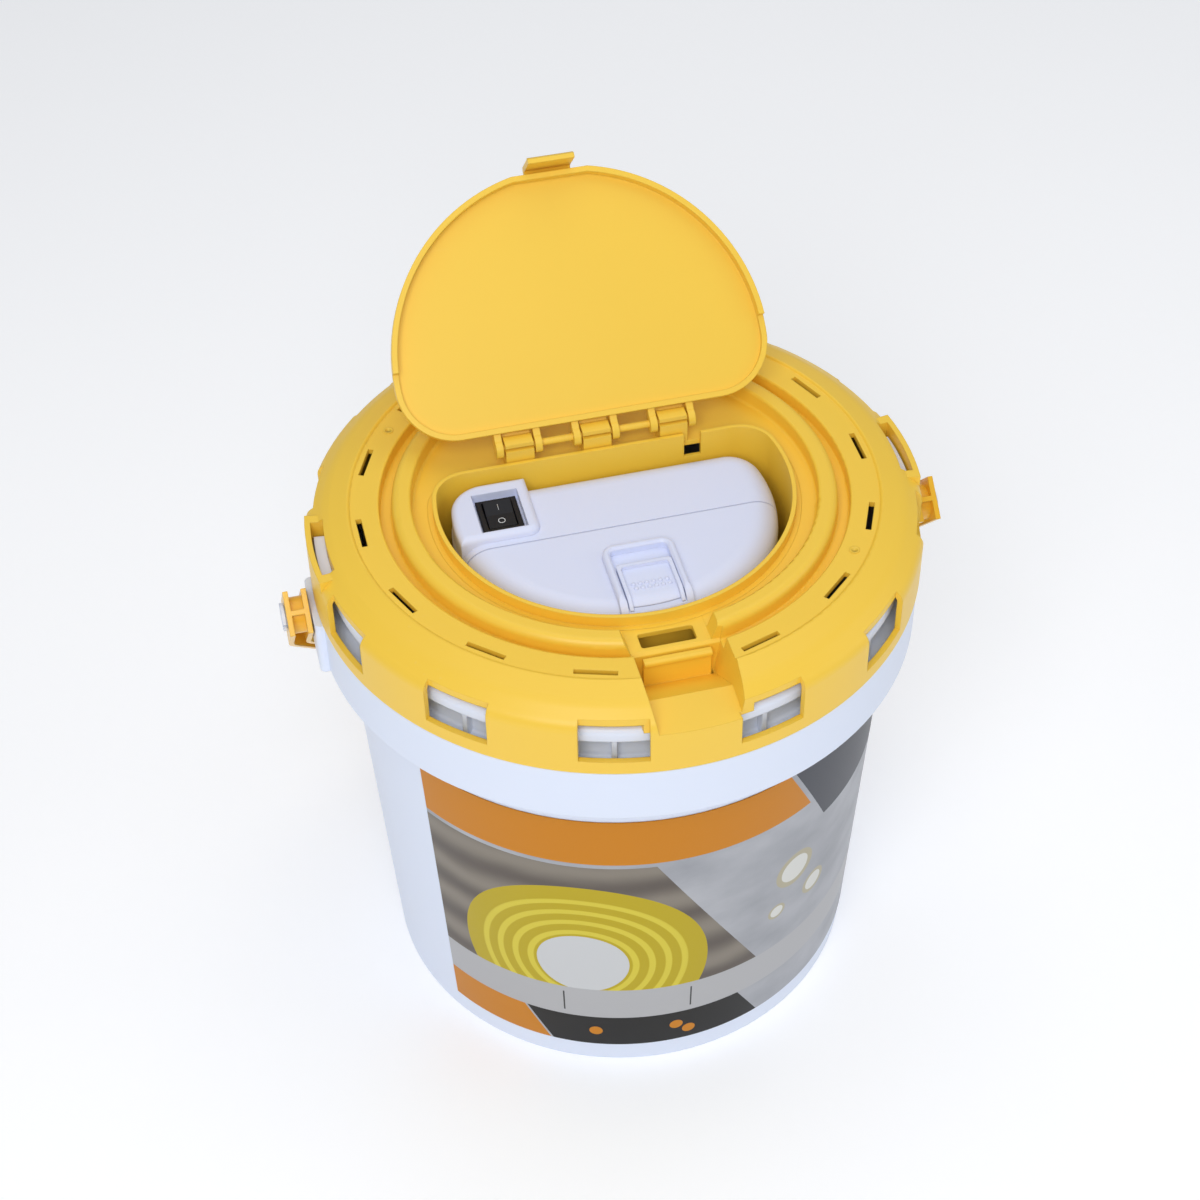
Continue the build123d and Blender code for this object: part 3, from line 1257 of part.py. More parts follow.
def make_negative_lead():
    """From the front switch tab down the partition to the cells' strip."""
    y = SWITCH_Y - TERMINAL_PITCH / 2
    near_wall = PARTITION_BACK + 1.2
    return lead([
        (SWITCH_X, y, TERMINAL_LOW),
        (SWITCH_X, y, TERMINAL_LOW - 7),
        (LEAD_X, near_wall, TERMINAL_LOW - 14),
        (LEAD_X, near_wall, FLOOR_TOP + CONTACT_THICKNESS),
    ])


# ================================================================ write the nodes
def main():
    """Build every node and write it."""
    os.makedirs("parts", exist_ok=True)
    save("bucket", bucket_wall_shell())
    save("bucket_floor", make_bucket_floor())
    save("bucket_collar", make_bucket_collar())
    save("body_label", make_label())
    save("carry_handle", make_handle())
    save("lid", make_lid())
    save("lid_well", make_lid_well())
    save("flip_lid", make_flip_lid())
    save("aerator_case", make_case())
    save("screw_columns", make_columns())
    save("case_gasket", make_gasket())
    save("aerator_top", make_aerator_top())
    save("case_screws", make_screws())
    save("switch_body", make_switch_body())
    save("switch_rocker", make_rocker())
    save("switch_terminals", make_terminals())
    save("battery_cover", make_battery_cover())
    save("cover_latch", make_latch())
    save("battery_cells", make_cells())
    save("bottom_contact", make_bottom_contact())
    save("contact_springs", make_springs())
    save("top_contact", make_top_contact())
    save("motor", make_motor())
    save("motor_bracket", make_motor_bracket())
    save("motor_shaft", make_shaft())
    save("crank_disc", make_crank())
    save("pump_yoke", make_yoke())
    save("diaphragm", make_diaphragm())
    save("pump_head", make_pump_head())
    save("outlet_barb", make_barb())
    save("drop_tube", make_drop_tube())
    save("air_stone", make_stone())
    save("lead_positive", make_positive_lead())
    save("lead_negative", make_negative_lead())


main()
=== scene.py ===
"""Looks of an aerated bait bucket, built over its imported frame.

Lengths are in metres. The front, with the latch and the finger notch, faces -Y.
"""

import logging
import math
from dataclasses import dataclass
from enum import Enum
from typing import Callable, Iterable

import bmesh
import bpy
from mathutils import Matrix, Vector


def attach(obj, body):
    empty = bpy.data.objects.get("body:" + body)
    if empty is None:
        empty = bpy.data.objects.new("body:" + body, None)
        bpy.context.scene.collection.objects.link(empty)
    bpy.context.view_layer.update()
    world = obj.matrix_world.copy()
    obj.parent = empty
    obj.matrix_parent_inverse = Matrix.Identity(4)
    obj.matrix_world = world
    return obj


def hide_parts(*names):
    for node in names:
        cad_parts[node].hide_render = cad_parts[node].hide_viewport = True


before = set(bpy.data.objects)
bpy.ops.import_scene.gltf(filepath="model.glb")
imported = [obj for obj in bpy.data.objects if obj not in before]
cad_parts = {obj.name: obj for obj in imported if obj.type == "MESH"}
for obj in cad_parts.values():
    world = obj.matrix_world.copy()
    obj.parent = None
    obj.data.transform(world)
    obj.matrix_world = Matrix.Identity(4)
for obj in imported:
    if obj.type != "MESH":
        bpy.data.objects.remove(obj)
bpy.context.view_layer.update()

log = logging.getLogger("bait_bucket")

Colour = tuple[float, float, float]
Socket = bpy.types.NodeSocket


class Pin(Enum):
    """Kinds of socket that the shared effects take and give."""

    COLOUR = "NodeSocketColor"
    NUMBER = "NodeSocketFloat"
    VECTOR = "NodeSocketVector"


class Layer(Enum):
    """Which surface the grain of a finish follows."""

    OBJECT = "Object"
    UV = "UV"


# ---------------------------------------------------------------- node bench
class Bench:
    """Lays nodes in one tree and joins them.

    Args:
        tree: The node tree to work in.
    """

    def __init__(self, tree: bpy.types.NodeTree) -> None:
        self.tree = tree

    def lay(self, kind: str, **settings: object) -> bpy.types.Node:
        """Add a node.

        Args:
            kind: The node's type name.
            **settings: Attributes to set on it.

        Returns:
            The new node.
        """
        node = self.tree.nodes.new(kind)
        for name, value in settings.items():
            setattr(node, name, value)
        return node

    def join(self, source: Socket, target: Socket) -> None:
        """Join two sockets."""
        self.tree.links.new(source, target)

    def feed(self, target: Socket, value: object) -> None:
        """Join a socket to a target, or set the target's own value.

        Args:
            target: The input to feed.
            value: A socket, or a plain value.
        """
        if isinstance(value, bpy.types.NodeSocket):
            self.join(value, target)
        else:
            target.default_value = value

    def calc(self, operation: str, first: object, second: object = 0.0) -> Socket:
        """Work out one sum.

        Args:
            operation: The Math node's operation.
            first: A socket or number.
            second: A socket or number.

        Returns:
            The result's socket.
        """
        node = self.lay("ShaderNodeMath", operation=operation)
        self.feed(node.inputs[0], first)
        self.feed(node.inputs[1], second)
        return node.outputs[0]

    def between(self, value: Socket, low: float, high: float) -> Socket:
        """Make a mask that is one between two levels."""
        above = self.calc("GREATER_THAN", value, low)
        below = self.calc("LESS_THAN", value, high)
        return self.calc("MULTIPLY", above, below)

    def noise(self, place: Socket, scale: float, detail: float = 2.0) -> Socket:
        """Sample a cloud noise.

        Args:
            place: The coordinates to sample at.
            scale: Features per unit of those coordinates.
            detail: Octaves.

        Returns:
            The noise's value.
        """
        node = self.lay("ShaderNodeTexNoise")
        self.join(place, node.inputs["Vector"])
        node.inputs["Scale"].default_value = scale
        node.inputs["Detail"].default_value = detail
        return node.outputs["Fac"]

    def spread(self, value: Socket, low: float, high: float, out_low: float, out_high: float) -> Socket:
        """Map a value's range on to another, clamped."""
        node = self.lay("ShaderNodeMapRange", clamp=True)
        self.join(value, node.inputs["Value"])
        for name, number in zip(("From Min", "From Max", "To Min", "To Max"), (low, high, out_low, out_high)):
            node.inputs[name].default_value = number
        return node.outputs["Result"]

    def blend(self, mask: object, under: object, over: object) -> Socket:
        """Lay one colour over another through a mask.

        Args:
            mask: How much of the upper colour shows.
            under: The lower colour.
            over: The upper colour.

        Returns:
            The blended colour.
        """
        node = self.lay("ShaderNodeMix", data_type="RGBA")
        self.feed(node.inputs[0], mask)
        self.feed(node.inputs[6], under)
        self.feed(node.inputs[7], over)
        return node.outputs[2]


def effect(
    name: str,
    takes: Iterable[tuple[str, Pin, object]],
    gives: Iterable[tuple[str, Pin]],
    fill: Callable[[Bench, bpy.types.Node], dict[str, Socket]],
) -> bpy.types.NodeTree:
    """Build a shared shader effect once.

    Args:
        name: The effect's name.
        takes: Each input's name, kind and default.
        gives: Each output's name and kind.
        fill: Lays the nodes and returns the socket for each output.

    Returns:
        The node group.
    """
    tree = bpy.data.node_groups.new(name, "ShaderNodeTree")
    for label, pin, default in takes:
        socket = tree.interface.new_socket(label, in_out="INPUT", socket_type=pin.value)
        if default is not None:
            socket.default_value = default
    for label, pin in gives:
        tree.interface.new_socket(label, in_out="OUTPUT", socket_type=pin.value)
    bench = Bench(tree)
    entry = bench.lay("NodeGroupInput")
    leave = bench.lay("NodeGroupOutput")
    for label, socket in fill(bench, entry).items():
        bench.join(socket, leave.inputs[label])
    return tree


def fill_moulded(bench: Bench, entry: bpy.types.Node) -> dict[str, Socket]:
    """Lay out moulded plastic: cloudy tone, flow streaks, fine grain and handling scuffs.

    Args:
        bench: Where the nodes go.
        entry: The group's inputs.

    Returns:
        The outputs' sockets.
    """
    place = entry.outputs["Place"]
    cloud = bench.noise(place, 14.0, 3.0)
    flow = bench.lay("ShaderNodeMapping")
    bench.join(place, flow.inputs["Vector"])
    flow.inputs["Scale"].default_value = (1.0, 1.0, 6.0)
    streak = bench.noise(flow.outputs[0], 22.0, 4.0)
    tone = bench.calc("ADD", bench.calc("MULTIPLY", cloud, 0.65), bench.calc("MULTIPLY", streak, 0.35))
    shift = bench.calc("MULTIPLY", bench.calc("SUBTRACT", tone, 0.5), entry.outputs["Variation"])
    shade = bench.lay("ShaderNodeHueSaturation")
    bench.join(entry.outputs["Colour"], shade.inputs["Color"])
    bench.join(bench.calc("ADD", shift, 1.0), shade.inputs["Value"])
    scratch = bench.lay("ShaderNodeMapping")
    bench.join(place, scratch.inputs["Vector"])
    scratch.inputs["Rotation"].default_value = (0.4, 0.2, 0.7)
    scratch.inputs["Scale"].default_value = (1.0, 14.0, 14.0)
    lines = bench.spread(bench.noise(scratch.outputs[0], 60.0, 3.0), 0.66, 0.72, 0.0, 1.0)
    wear = bench.spread(bench.noise(place, 9.0, 2.0), 0.52, 0.75, 0.0, 1.0)
    scuff = bench.calc("MULTIPLY", lines, bench.calc("MULTIPLY", wear, entry.outputs["Scuffs"]))
    gloss = bench.calc("ADD", entry.outputs["Roughness"], bench.calc("MULTIPLY", shift, 0.6))
    grain = bench.noise(place, 1400.0, 2.0)
    height = bench.calc("SUBTRACT", grain, bench.calc("MULTIPLY", scuff, 1.5))
    return {
        "Colour": bench.blend(bench.calc("MULTIPLY", scuff, 0.35), shade.outputs[0], (0.9, 0.9, 0.88, 1.0)),
        "Roughness": bench.calc("ADD", gloss, bench.calc("MULTIPLY", scuff, 0.2)),
        "Height": height,
    }


def moulded_effect() -> bpy.types.NodeTree:
    """Get the shared moulded-plastic effect, built on first use."""
    found = bpy.data.node_groups.get("moulded_plastic")
    if found:
        return found
    takes = (
        ("Place", Pin.VECTOR, None),
        ("Colour", Pin.COLOUR, (0.8, 0.8, 0.8, 1.0)),
        ("Variation", Pin.NUMBER, 0.1),
        ("Scuffs", Pin.NUMBER, 0.2),
        ("Roughness", Pin.NUMBER, 0.4),
    )
    gives = (("Colour", Pin.COLOUR), ("Roughness", Pin.NUMBER), ("Height", Pin.NUMBER))
    return effect("moulded_plastic", takes, gives, fill_moulded)


# ---------------------------------------------------------------- finishes
@dataclass(frozen=True)
class Finish:
    """One finish of the bucket.

    Attributes:
        name: The material's name.
        colour: Base colour, linear.
        roughness: Mean roughness.
        variation: How far the tone clouds.
        scuffs: How many handling marks show.
        grain: Height of the surface grain in metres.
        metallic: One for a metal.
        coat: Weight of a clear glossy skin.
        specular: Strength of the plain reflection.
        glow: Subsurface weight of a milky plastic.
        soft: Radius to which the light rounds sharp edges, in metres.
        shine: Light that a lit studio floor gives off.
        layer: What the grain follows.
    """

    name: str
    colour: Colour
    roughness: float = 0.4
    variation: float = 0.08
    scuffs: float = 0.25
    grain: float = 0.00001
    metallic: float = 0.0
    coat: float = 0.0
    specular: float = 0.5
    glow: float = 0.0
    soft: float = 0.0005
    shine: float = 0.0
    layer: Layer = Layer.OBJECT

    def make(self) -> bpy.types.Material:
        """Build the material, or give the one already built."""
        found = bpy.data.materials.get(self.name)
        if found:
            return found
        material = bpy.data.materials.new(self.name)
        material.use_nodes = True
        bench = Bench(material.node_tree)
        shader = material.node_tree.nodes["Principled BSDF"]
        colour, roughness, height = self.surface(bench)
        bench.join(colour, shader.inputs["Base Color"])
        bench.join(roughness, shader.inputs["Roughness"])
        edge = bench.lay("ShaderNodeBevel", samples=4)
        edge.inputs["Radius"].default_value = self.soft
        bump = bench.lay("ShaderNodeBump")
        bench.join(edge.outputs["Normal"], bump.inputs["Normal"])
        bump.inputs["Strength"].default_value = 0.6
        bump.inputs["Distance"].default_value = self.grain
        bench.join(height, bump.inputs["Height"])
        bench.join(bump.outputs["Normal"], shader.inputs["Normal"])
        shader.inputs["Metallic"].default_value = self.metallic
        shader.inputs["Coat Weight"].default_value = self.coat
        shader.inputs["Coat Roughness"].default_value = 0.12
        shader.inputs["Specular IOR Level"].default_value = self.specular
        shader.inputs["Subsurface Weight"].default_value = self.glow
        shader.inputs["Subsurface Radius"].default_value = (1.0, 0.8, 0.6)
        shader.inputs["Subsurface Scale"].default_value = 0.0015
        shader.inputs["Emission Color"].default_value = (1.0, 1.0, 1.0, 1.0)
        shader.inputs["Emission Strength"].default_value = self.shine
        return material

    def surface(self, bench: Bench) -> tuple[Socket, Socket, Socket]:
        """Lay the surface's effect.

        Args:
            bench: The material's bench.

        Returns:
            Colour, roughness and height.
        """
        where = bench.lay("ShaderNodeTexCoord")
        skin = bench.lay("ShaderNodeGroup", node_tree=moulded_effect())
        bench.join(where.outputs[self.layer.value], skin.inputs["Place"])
        skin.inputs["Colour"].default_value = (*self.colour, 1.0)
        skin.inputs["Variation"].default_value = self.variation
        skin.inputs["Scuffs"].default_value = self.scuffs
        skin.inputs["Roughness"].default_value = self.roughness
        return skin.outputs["Colour"], skin.outputs["Roughness"], skin.outputs["Height"]


@dataclass(frozen=True)
class PrintedFilm(Finish):
    """The label's film, printed with plain bands, stripes and rings.

    Attributes:
        width: The print's width along the wrap.
        height: The print's height.
    """

    width: float = 0.19
    height: float = 0.135

    def rings(self, bench: Bench, across: Socket, up: Socket, centre: tuple[float, float], reach: float) -> Socket:
        """Make a mask of widening ripples round a point.

        Args:
            bench: The material's bench.
            across: Distance along the wrap.
            up: Height on the wrap.
            centre: The ripples' centre.
            reach: How far they run.

        Returns:
            The mask.
        """
        dx = bench.calc("SUBTRACT", across, centre[0])
        dy = bench.calc("SUBTRACT", up, centre[1])
        square = bench.calc("ADD", bench.calc("MULTIPLY", dx, dx), bench.calc("MULTIPLY", dy, dy))
        distance = bench.calc("SQRT", square)
        wave = bench.calc("SINE", bench.calc("MULTIPLY", distance, 1050.0))
        crest = bench.spread(wave, 0.1, 0.5, 0.0, 1.0)
        fade = bench.spread(distance, reach * 0.9, reach, 1.0, 0.0)
        return bench.calc("MULTIPLY", crest, fade)

    def disc(self, bench: Bench, across: Socket, up: Socket, centre: tuple[float, float], radius: float) -> Socket:
        """Make a mask of one disc."""
        dx = bench.calc("SUBTRACT", across, centre[0])
        dy = bench.calc("SUBTRACT", up, centre[1])
        square = bench.calc("ADD", bench.calc("MULTIPLY", dx, dx), bench.calc("MULTIPLY", dy, dy))
        return bench.calc("LESS_THAN", square, radius * radius)

    def surface(self, bench: Bench) -> tuple[Socket, Socket, Socket]:
        """Lay the print on the wrap's own map.

        Args:
            bench: The material's bench.

        Returns:
            Colour, roughness and height.
        """
        where = bench.lay("ShaderNodeTexCoord")
        split = bench.lay("ShaderNodeSeparateXYZ")
        bench.join(where.outputs["UV"], split.inputs[0])
        across = bench.calc("MULTIPLY", split.outputs[0], self.width)
        up = bench.calc("MULTIPLY", split.outputs[1], self.height)
        slant = bench.calc("ADD", across, bench.calc("MULTIPLY", up, 0.55))
        paper = bench.spread(bench.noise(where.outputs["UV"], 7.0, 5.0), 0.3, 0.7, 0.0, 1.0)
        colour = bench.blend(paper, (0.33, 0.34, 0.37, 1.0), (0.46, 0.47, 0.50, 1.0))
        field = bench.calc("MULTIPLY", bench.between(up, 0.036, 0.110), bench.calc("LESS_THAN", slant, 0.145))
        plank = bench.lay("ShaderNodeTexWave", bands_direction="Y")
        bench.join(where.outputs["UV"], plank.inputs["Vector"])
        plank.inputs["Scale"].default_value = 2.2
        plank.inputs["Distortion"].default_value = 3.0
        plank.inputs["Detail"].default_value = 4.0
        board = bench.blend(plank.outputs["Fac"], (0.12, 0.10, 0.085, 1.0), (0.25, 0.22, 0.18, 1.0))
        colour = bench.blend(field, colour, board)
        sun = bench.calc("MULTIPLY", self.disc(bench, across, up, (0.058, 0.052), 0.046), field)
        colour = bench.blend(sun, colour, (0.50, 0.38, 0.008, 1.0))
        ripple = bench.calc("MULTIPLY", self.rings(bench, across, up, (0.058, 0.052), 0.042), field)
        colour = bench.blend(ripple, colour, (0.68, 0.57, 0.05, 1.0))
        lens = bench.calc("MULTIPLY", self.disc(bench, across, up, (0.058, 0.052), 0.017), field)
        colour = bench.blend(lens, colour, (0.60, 0.61, 0.62, 1.0))
        for centre, radius in (((0.140, 0.078), 0.009), ((0.152, 0.060), 0.006), ((0.133, 0.058), 0.004)):
            colour = bench.blend(self.disc(bench, across, up, centre, radius), colour, (0.46, 0.42, 0.30, 1.0))
            inner = self.disc(bench, across, up, centre, radius * 0.72)
            colour = bench.blend(inner, colour, (0.70, 0.70, 0.66, 1.0))
        strip = bench.between(up, 0.018, 0.036)
        colour = bench.blend(strip, colour, (0.46, 0.46, 0.47, 1.0))
        for line in (0.050, 0.098):
            rule = bench.calc("MULTIPLY", bench.between(across, line, line + 0.0006), bench.between(up, 0.021, 0.033))
            colour = bench.blend(rule, colour, (0.05, 0.05, 0.05, 1.0))
        foot = bench.calc("LESS_THAN", up, 0.018)
        colour = bench.blend(bench.calc("MULTIPLY", foot, bench.calc("LESS_THAN", slant, 0.044)), colour, (0.60, 0.215, 0.003, 1.0))
        dark = bench.calc("MULTIPLY", foot, bench.between(slant, 0.045, 0.128))
        colour = bench.blend(dark, colour, (0.012, 0.011, 0.010, 1.0))
        for centre in ((0.062, 0.009), (0.093, 0.010), (0.098, 0.006)):
            colour = bench.blend(self.disc(bench, across, up, centre, 0.0026), colour, (0.60, 0.215, 0.003, 1.0))
        band = bench.calc("GREATER_THAN", up, 0.112)
        slope = bench.calc("SUBTRACT", across, bench.calc("MULTIPLY", bench.calc("SUBTRACT", self.height, up), 0.5))
        left = bench.calc("MULTIPLY", band, bench.calc("LESS_THAN", slope, 0.132))
        colour = bench.blend(left, colour, (0.60, 0.215, 0.003, 1.0))
        right = bench.calc("MULTIPLY", bench.calc("GREATER_THAN", up, 0.098), bench.calc("GREATER_THAN", slope, 0.134))
        colour = bench.blend(right, colour, (0.065, 0.070, 0.085, 1.0))
        grain = bench.noise(where.outputs["UV"], 500.0, 2.0)
        gloss = bench.spread(grain, 0.3, 0.7, self.roughness - 0.03, self.roughness + 0.03)
        return colour, gloss, grain


YELLOW = Finish("yellow_moulding", (0.93, 0.60, 0.055), roughness=0.42, variation=0.04, scuffs=0.12, coat=0.05, glow=0.05)
# Painted shade: the handle is the same yellow plastic as the lid, but its colour is painted darker and more orange to
# stand in for the shadow it hangs in.
SHADE_DARKENED_HANDLE_YELLOW = Finish("handle_moulding_painted_shade", (0.88, 0.50, 0.02), roughness=0.34, variation=0.06, coat=0.15, glow=0.05)
WHITE = Finish("bucket_moulding", (0.76, 0.82, 0.96), roughness=0.44, variation=0.02, scuffs=0.12, coat=0.05, glow=0.05)
PALE = Finish("housing_moulding", (0.71, 0.75, 0.93), roughness=0.38, variation=0.02, scuffs=0.10, glow=0.05)
BLACK = Finish("switch_moulding", (0.008, 0.008, 0.011), roughness=0.42, variation=0.3, scuffs=0.1, specular=0.25)
ROCKER = Finish("rocker_moulding", (0.006, 0.006, 0.009), roughness=0.32, variation=0.3, scuffs=0.05, specular=0.25)
PRINT = Finish("marking_ink", (0.78, 0.78, 0.78), roughness=0.5, variation=0.1)
RUBBER = Finish("seal_rubber", (0.03, 0.03, 0.032), roughness=0.7, variation=0.3)
STEEL = Finish("plated_steel", (0.56, 0.56, 0.57), roughness=0.28, variation=0.12, metallic=1.0)
NICKEL = Finish("contact_nickel", (0.70, 0.67, 0.60), roughness=0.25, variation=0.12, metallic=1.0)
SLEEVE = Finish("cell_sleeve", (0.05, 0.06, 0.08), roughness=0.3, variation=0.2, coat=0.3)
NATURAL = Finish("natural_nylon", (0.66, 0.65, 0.60), roughness=0.45, variation=0.06, glow=0.2)
BRASS = Finish("turned_brass", (0.74, 0.52, 0.20), roughness=0.25, variation=0.15, metallic=1.0)
TUBE = Finish("air_tube", (0.62, 0.66, 0.68), roughness=0.25, variation=0.04, coat=0.3, glow=0.2)
STONE = Finish("porous_stone", (0.10, 0.17, 0.27), roughness=0.9, variation=0.6, grain=0.0004)
RED_LEAD = Finish("red_insulation", (0.42, 0.02, 0.015), roughness=0.45)
BLACK_LEAD = Finish("black_insulation", (0.02, 0.02, 0.02), roughness=0.45)
FLOOR = Finish("studio_sweep", (0.90, 0.90, 0.91), roughness=0.85, variation=0.01, scuffs=0.0, shine=0.22)


def dress(node: str, finish: Finish) -> None:
    """Give every material slot of a carried-over node one finish.

    Args:
        node: The node's name.
        finish: What it is finished in.
    """
    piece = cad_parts[node]
    material = finish.make()
    if not piece.material_slots:
        piece.data.materials.append(material)
    for place in piece.material_slots:
        place.material = material
    log.info("dressed %s in %s", node, finish.name)


# ---------------------------------------------------------------- modelling bench
def clear_selection() -> None:
    """Deselect everything and leave edit mode."""
    if bpy.context.object and bpy.context.object.mode != "OBJECT":
        bpy.ops.object.mode_set(mode="OBJECT")
    bpy.ops.object.select_all(action="DESELECT")


def settle(piece: bpy.types.Object) -> None:
    """Write a piece's place into its mesh and shade it smooth by angle."""
    clear_selection()
    piece.select_set(True)
    bpy.context.view_layer.objects.active = piece
    bpy.ops.object.transform_apply(location=True, rotation=True, scale=True)
    bpy.ops.object.shade_smooth_by_angle(angle=math.radians(35))


def pick(piece: bpy.types.Object, wanted: Callable[[bmesh.types.BMFace], bool]) -> None:
    """Select faces in edit mode.

    Args:
        piece: The object in edit mode.
        wanted: Says whether a face is selected.
    """
    bpy.ops.mesh.select_mode(type="FACE")
    mesh = bmesh.from_edit_mesh(piece.data)
    for face in mesh.faces:
        face.select_set(wanted(face))
    bmesh.update_edit_mesh(piece.data)


def finish_piece(piece: bpy.types.Object, name: str, body: str, finish: Finish) -> None:
    """Name a new piece, dress it and let it ride on a body.

    Args:
        piece: The finished object.
        name: Its name.
        body: The CAD body it moves with.
        finish: Its finish.
    """
    piece.name = name
    piece.data.name = name
    piece.data.materials.clear()
    piece.data.materials.append(finish.make())
    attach(piece, body)
    log.info("made %s with %d faces", name, len(piece.data.polygons))


# ---------------------------------------------------------------- sub-assemblies
@dataclass
class Label:
    """The printed wrap on the front of the body.

    Attributes:
        start: Angle of its left edge in degrees.
        end: Angle of its right edge in degrees.
        low: Height of its lower edge.
        high: Height of its upper edge.
        base_radius: The body's radius at the floor.
        shoulder_radius: The body's radius at the shoulder.
        shoulder: The shoulder's height.
        lift: How far its middle stands off the body.
        thickness: The film's thickness.
        steps: Faces round the wrap.
    """

    start: float = -148.0
    end: float = -20.0
    low: float = 0.0105
    high: float = 0.146
    base_radius: float = 0.0885
    shoulder_radius: float = 0.0968
    shoulder: float = 0.1586
    lift: float = 0.00006
    thickness: float = 0.00024
    steps: int = 96

    def radius_at(self, height: float) -> float:
        """Get the wrap's inner radius at a height."""
        taper = (self.shoulder_radius - self.base_radius) / self.shoulder
        return self.base_radius + taper * height + self.lift

    def build(self) -> None:
        """Spin the wrap from one upright edge, map it, and replace the plain solid."""
        clear_selection()
        bpy.ops.mesh.primitive_plane_add(size=1.0, calc_uvs=False)
        piece = bpy.context.object
        turn = math.radians(self.start)
        low = Vector((math.cos(turn), math.sin(turn), 0.0)) * self.radius_at(self.low)
        high = Vector((math.cos(turn), math.sin(turn), 0.0)) * self.radius_at(self.high)
        low.z, high.z = self.low, self.high
        bpy.ops.object.mode_set(mode="EDIT")
        mesh = bmesh.from_edit_mesh(piece.data)
        bmesh.ops.delete(mesh, geom=list(mesh.faces), context="FACES")
        foot, head = mesh.verts.new(low), mesh.verts.new(high)
        mesh.edges.new((foot, head)).select_set(True)
        bmesh.update_edit_mesh(piece.data)
        bpy.ops.mesh.spin(
            steps=self.steps,
            angle=math.radians(self.start - self.end),
            center=(0.0, 0.0, 0.0),
            axis=(0.0, 0.0, 1.0),
        )
        bpy.ops.mesh.select_all(action="SELECT")
        bpy.ops.mesh.remove_doubles(threshold=0.000001)
        bpy.ops.mesh.normals_make_consistent(inside=False)
        bpy.ops.object.mode_set(mode="OBJECT")
        self.face_outward(piece)
        self.map_print(piece)
        shell = piece.modifiers.new("film", "SOLIDIFY")
        shell.thickness = self.thickness
        shell.offset = 1.0
        bpy.ops.object.modifier_apply(modifier=shell.name)
        settle(piece)
        finish = PrintedFilm("printed_film", (0.6, 0.6, 0.58), roughness=0.42, grain=0.000004, coat=0.03, specular=0.2,
                             width=math.radians(self.end - self.start) * 0.093, height=self.high - self.low)
        finish_piece(piece, "label_wrap", "bucket", finish)
        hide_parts("body_label")

    def face_outward(self, piece: bpy.types.Object) -> None:
        """Turn the wrap's faces away from the axis if they point in."""
        face = piece.data.polygons[0]
        outward = Vector((face.center.x, face.center.y, 0.0))
        if face.normal.dot(outward) > 0:
            return
        bpy.ops.object.mode_set(mode="EDIT")
        bpy.ops.mesh.select_all(action="SELECT")
        bpy.ops.mesh.flip_normals()
        bpy.ops.object.mode_set(mode="OBJECT")

    def map_print(self, piece: bpy.types.Object) -> None:
        """Write a map whose U runs round the wrap and whose V runs up it."""
        layer = piece.data.uv_layers.new(name="print")
        for loop in piece.data.loops:
            point = piece.data.vertices[loop.vertex_index].co
            turn = math.degrees(math.atan2(point.y, point.x))
            across = (turn - self.start) / (self.end - self.start)
            layer.data[loop.index].uv = (across, (point.z - self.low) / (self.high - self.low))


@dataclass
class Bucket:
    """The bucket and its handle."""

    def build(self) -> None:
        """Dress the mouldings and add the label."""
        for node in ("bucket", "bucket_floor", "bucket_collar"):
            dress(node, WHITE)
        # The handle gets the darker copy of the yellow: painted shade, not a different plastic.
        dress("carry_handle", SHADE_DARKENED_HANDLE_YELLOW)
        Label().build()


@dataclass
class Lid:
    """The lid and the flip lid.

    Attributes:
        top: Height of the slotted annulus.
        gate_radius: Radius at which the two gate marks lie.
        gate_angles: Their angles.
        gate_size: A mark's radius.
    """

    top: float = 0.208
    gate_radius: float = 0.0856
    gate_angles: tuple[float, float] = (144.0, -36.0)
    gate_size: float = 0.0018

    def build(self) -> None:
        """Dress the mouldings and add the gate marks."""
        for node in ("lid", "lid_well", "flip_lid"):
            dress(node, YELLOW)
        for number, angle in enumerate(self.gate_angles, start=1):
            self.gate_mark(f"gate_mark_{number}", angle)

    def gate_mark(self, name: str, angle: float) -> None:
        """Model one shallow injection mark, a ring round a sunk dimple.

        Args:
            name: The piece's name.
            angle: Its angle about the lid's axis in degrees.
        """
        clear_selection()
        turn = math.radians(angle)
        place = (self.gate_radius * math.cos(turn), self.gate_radius * math.sin(turn), self.top + 0.00002)
        bpy.ops.mesh.primitive_circle_add(vertices=40, radius=self.gate_size, fill_type="NGON", location=place)
        piece = bpy.context.object
        bpy.ops.object.mode_set(mode="EDIT")
        bpy.ops.mesh.select_all(action="SELECT")
        bpy.ops.mesh.extrude_region_move(TRANSFORM_OT_translate={"value": (0.0, 0.0, 0.00018)})
        bpy.ops.mesh.inset(thickness=self.gate_size * 0.22)
        bpy.ops.transform.translate(value=(0.0, 0.0, 0.00003))
        bpy.ops.mesh.inset(thickness=self.gate_size * 0.22)
        bpy.ops.transform.translate(value=(0.0, 0.0, -0.00014))
        bpy.ops.mesh.select_all(action="SELECT")
        bpy.ops.mesh.normals_make_consistent(inside=False)
        bpy.ops.object.mode_set(mode="OBJECT")
        settle(piece)
        finish_piece(piece, name, "lid", YELLOW)


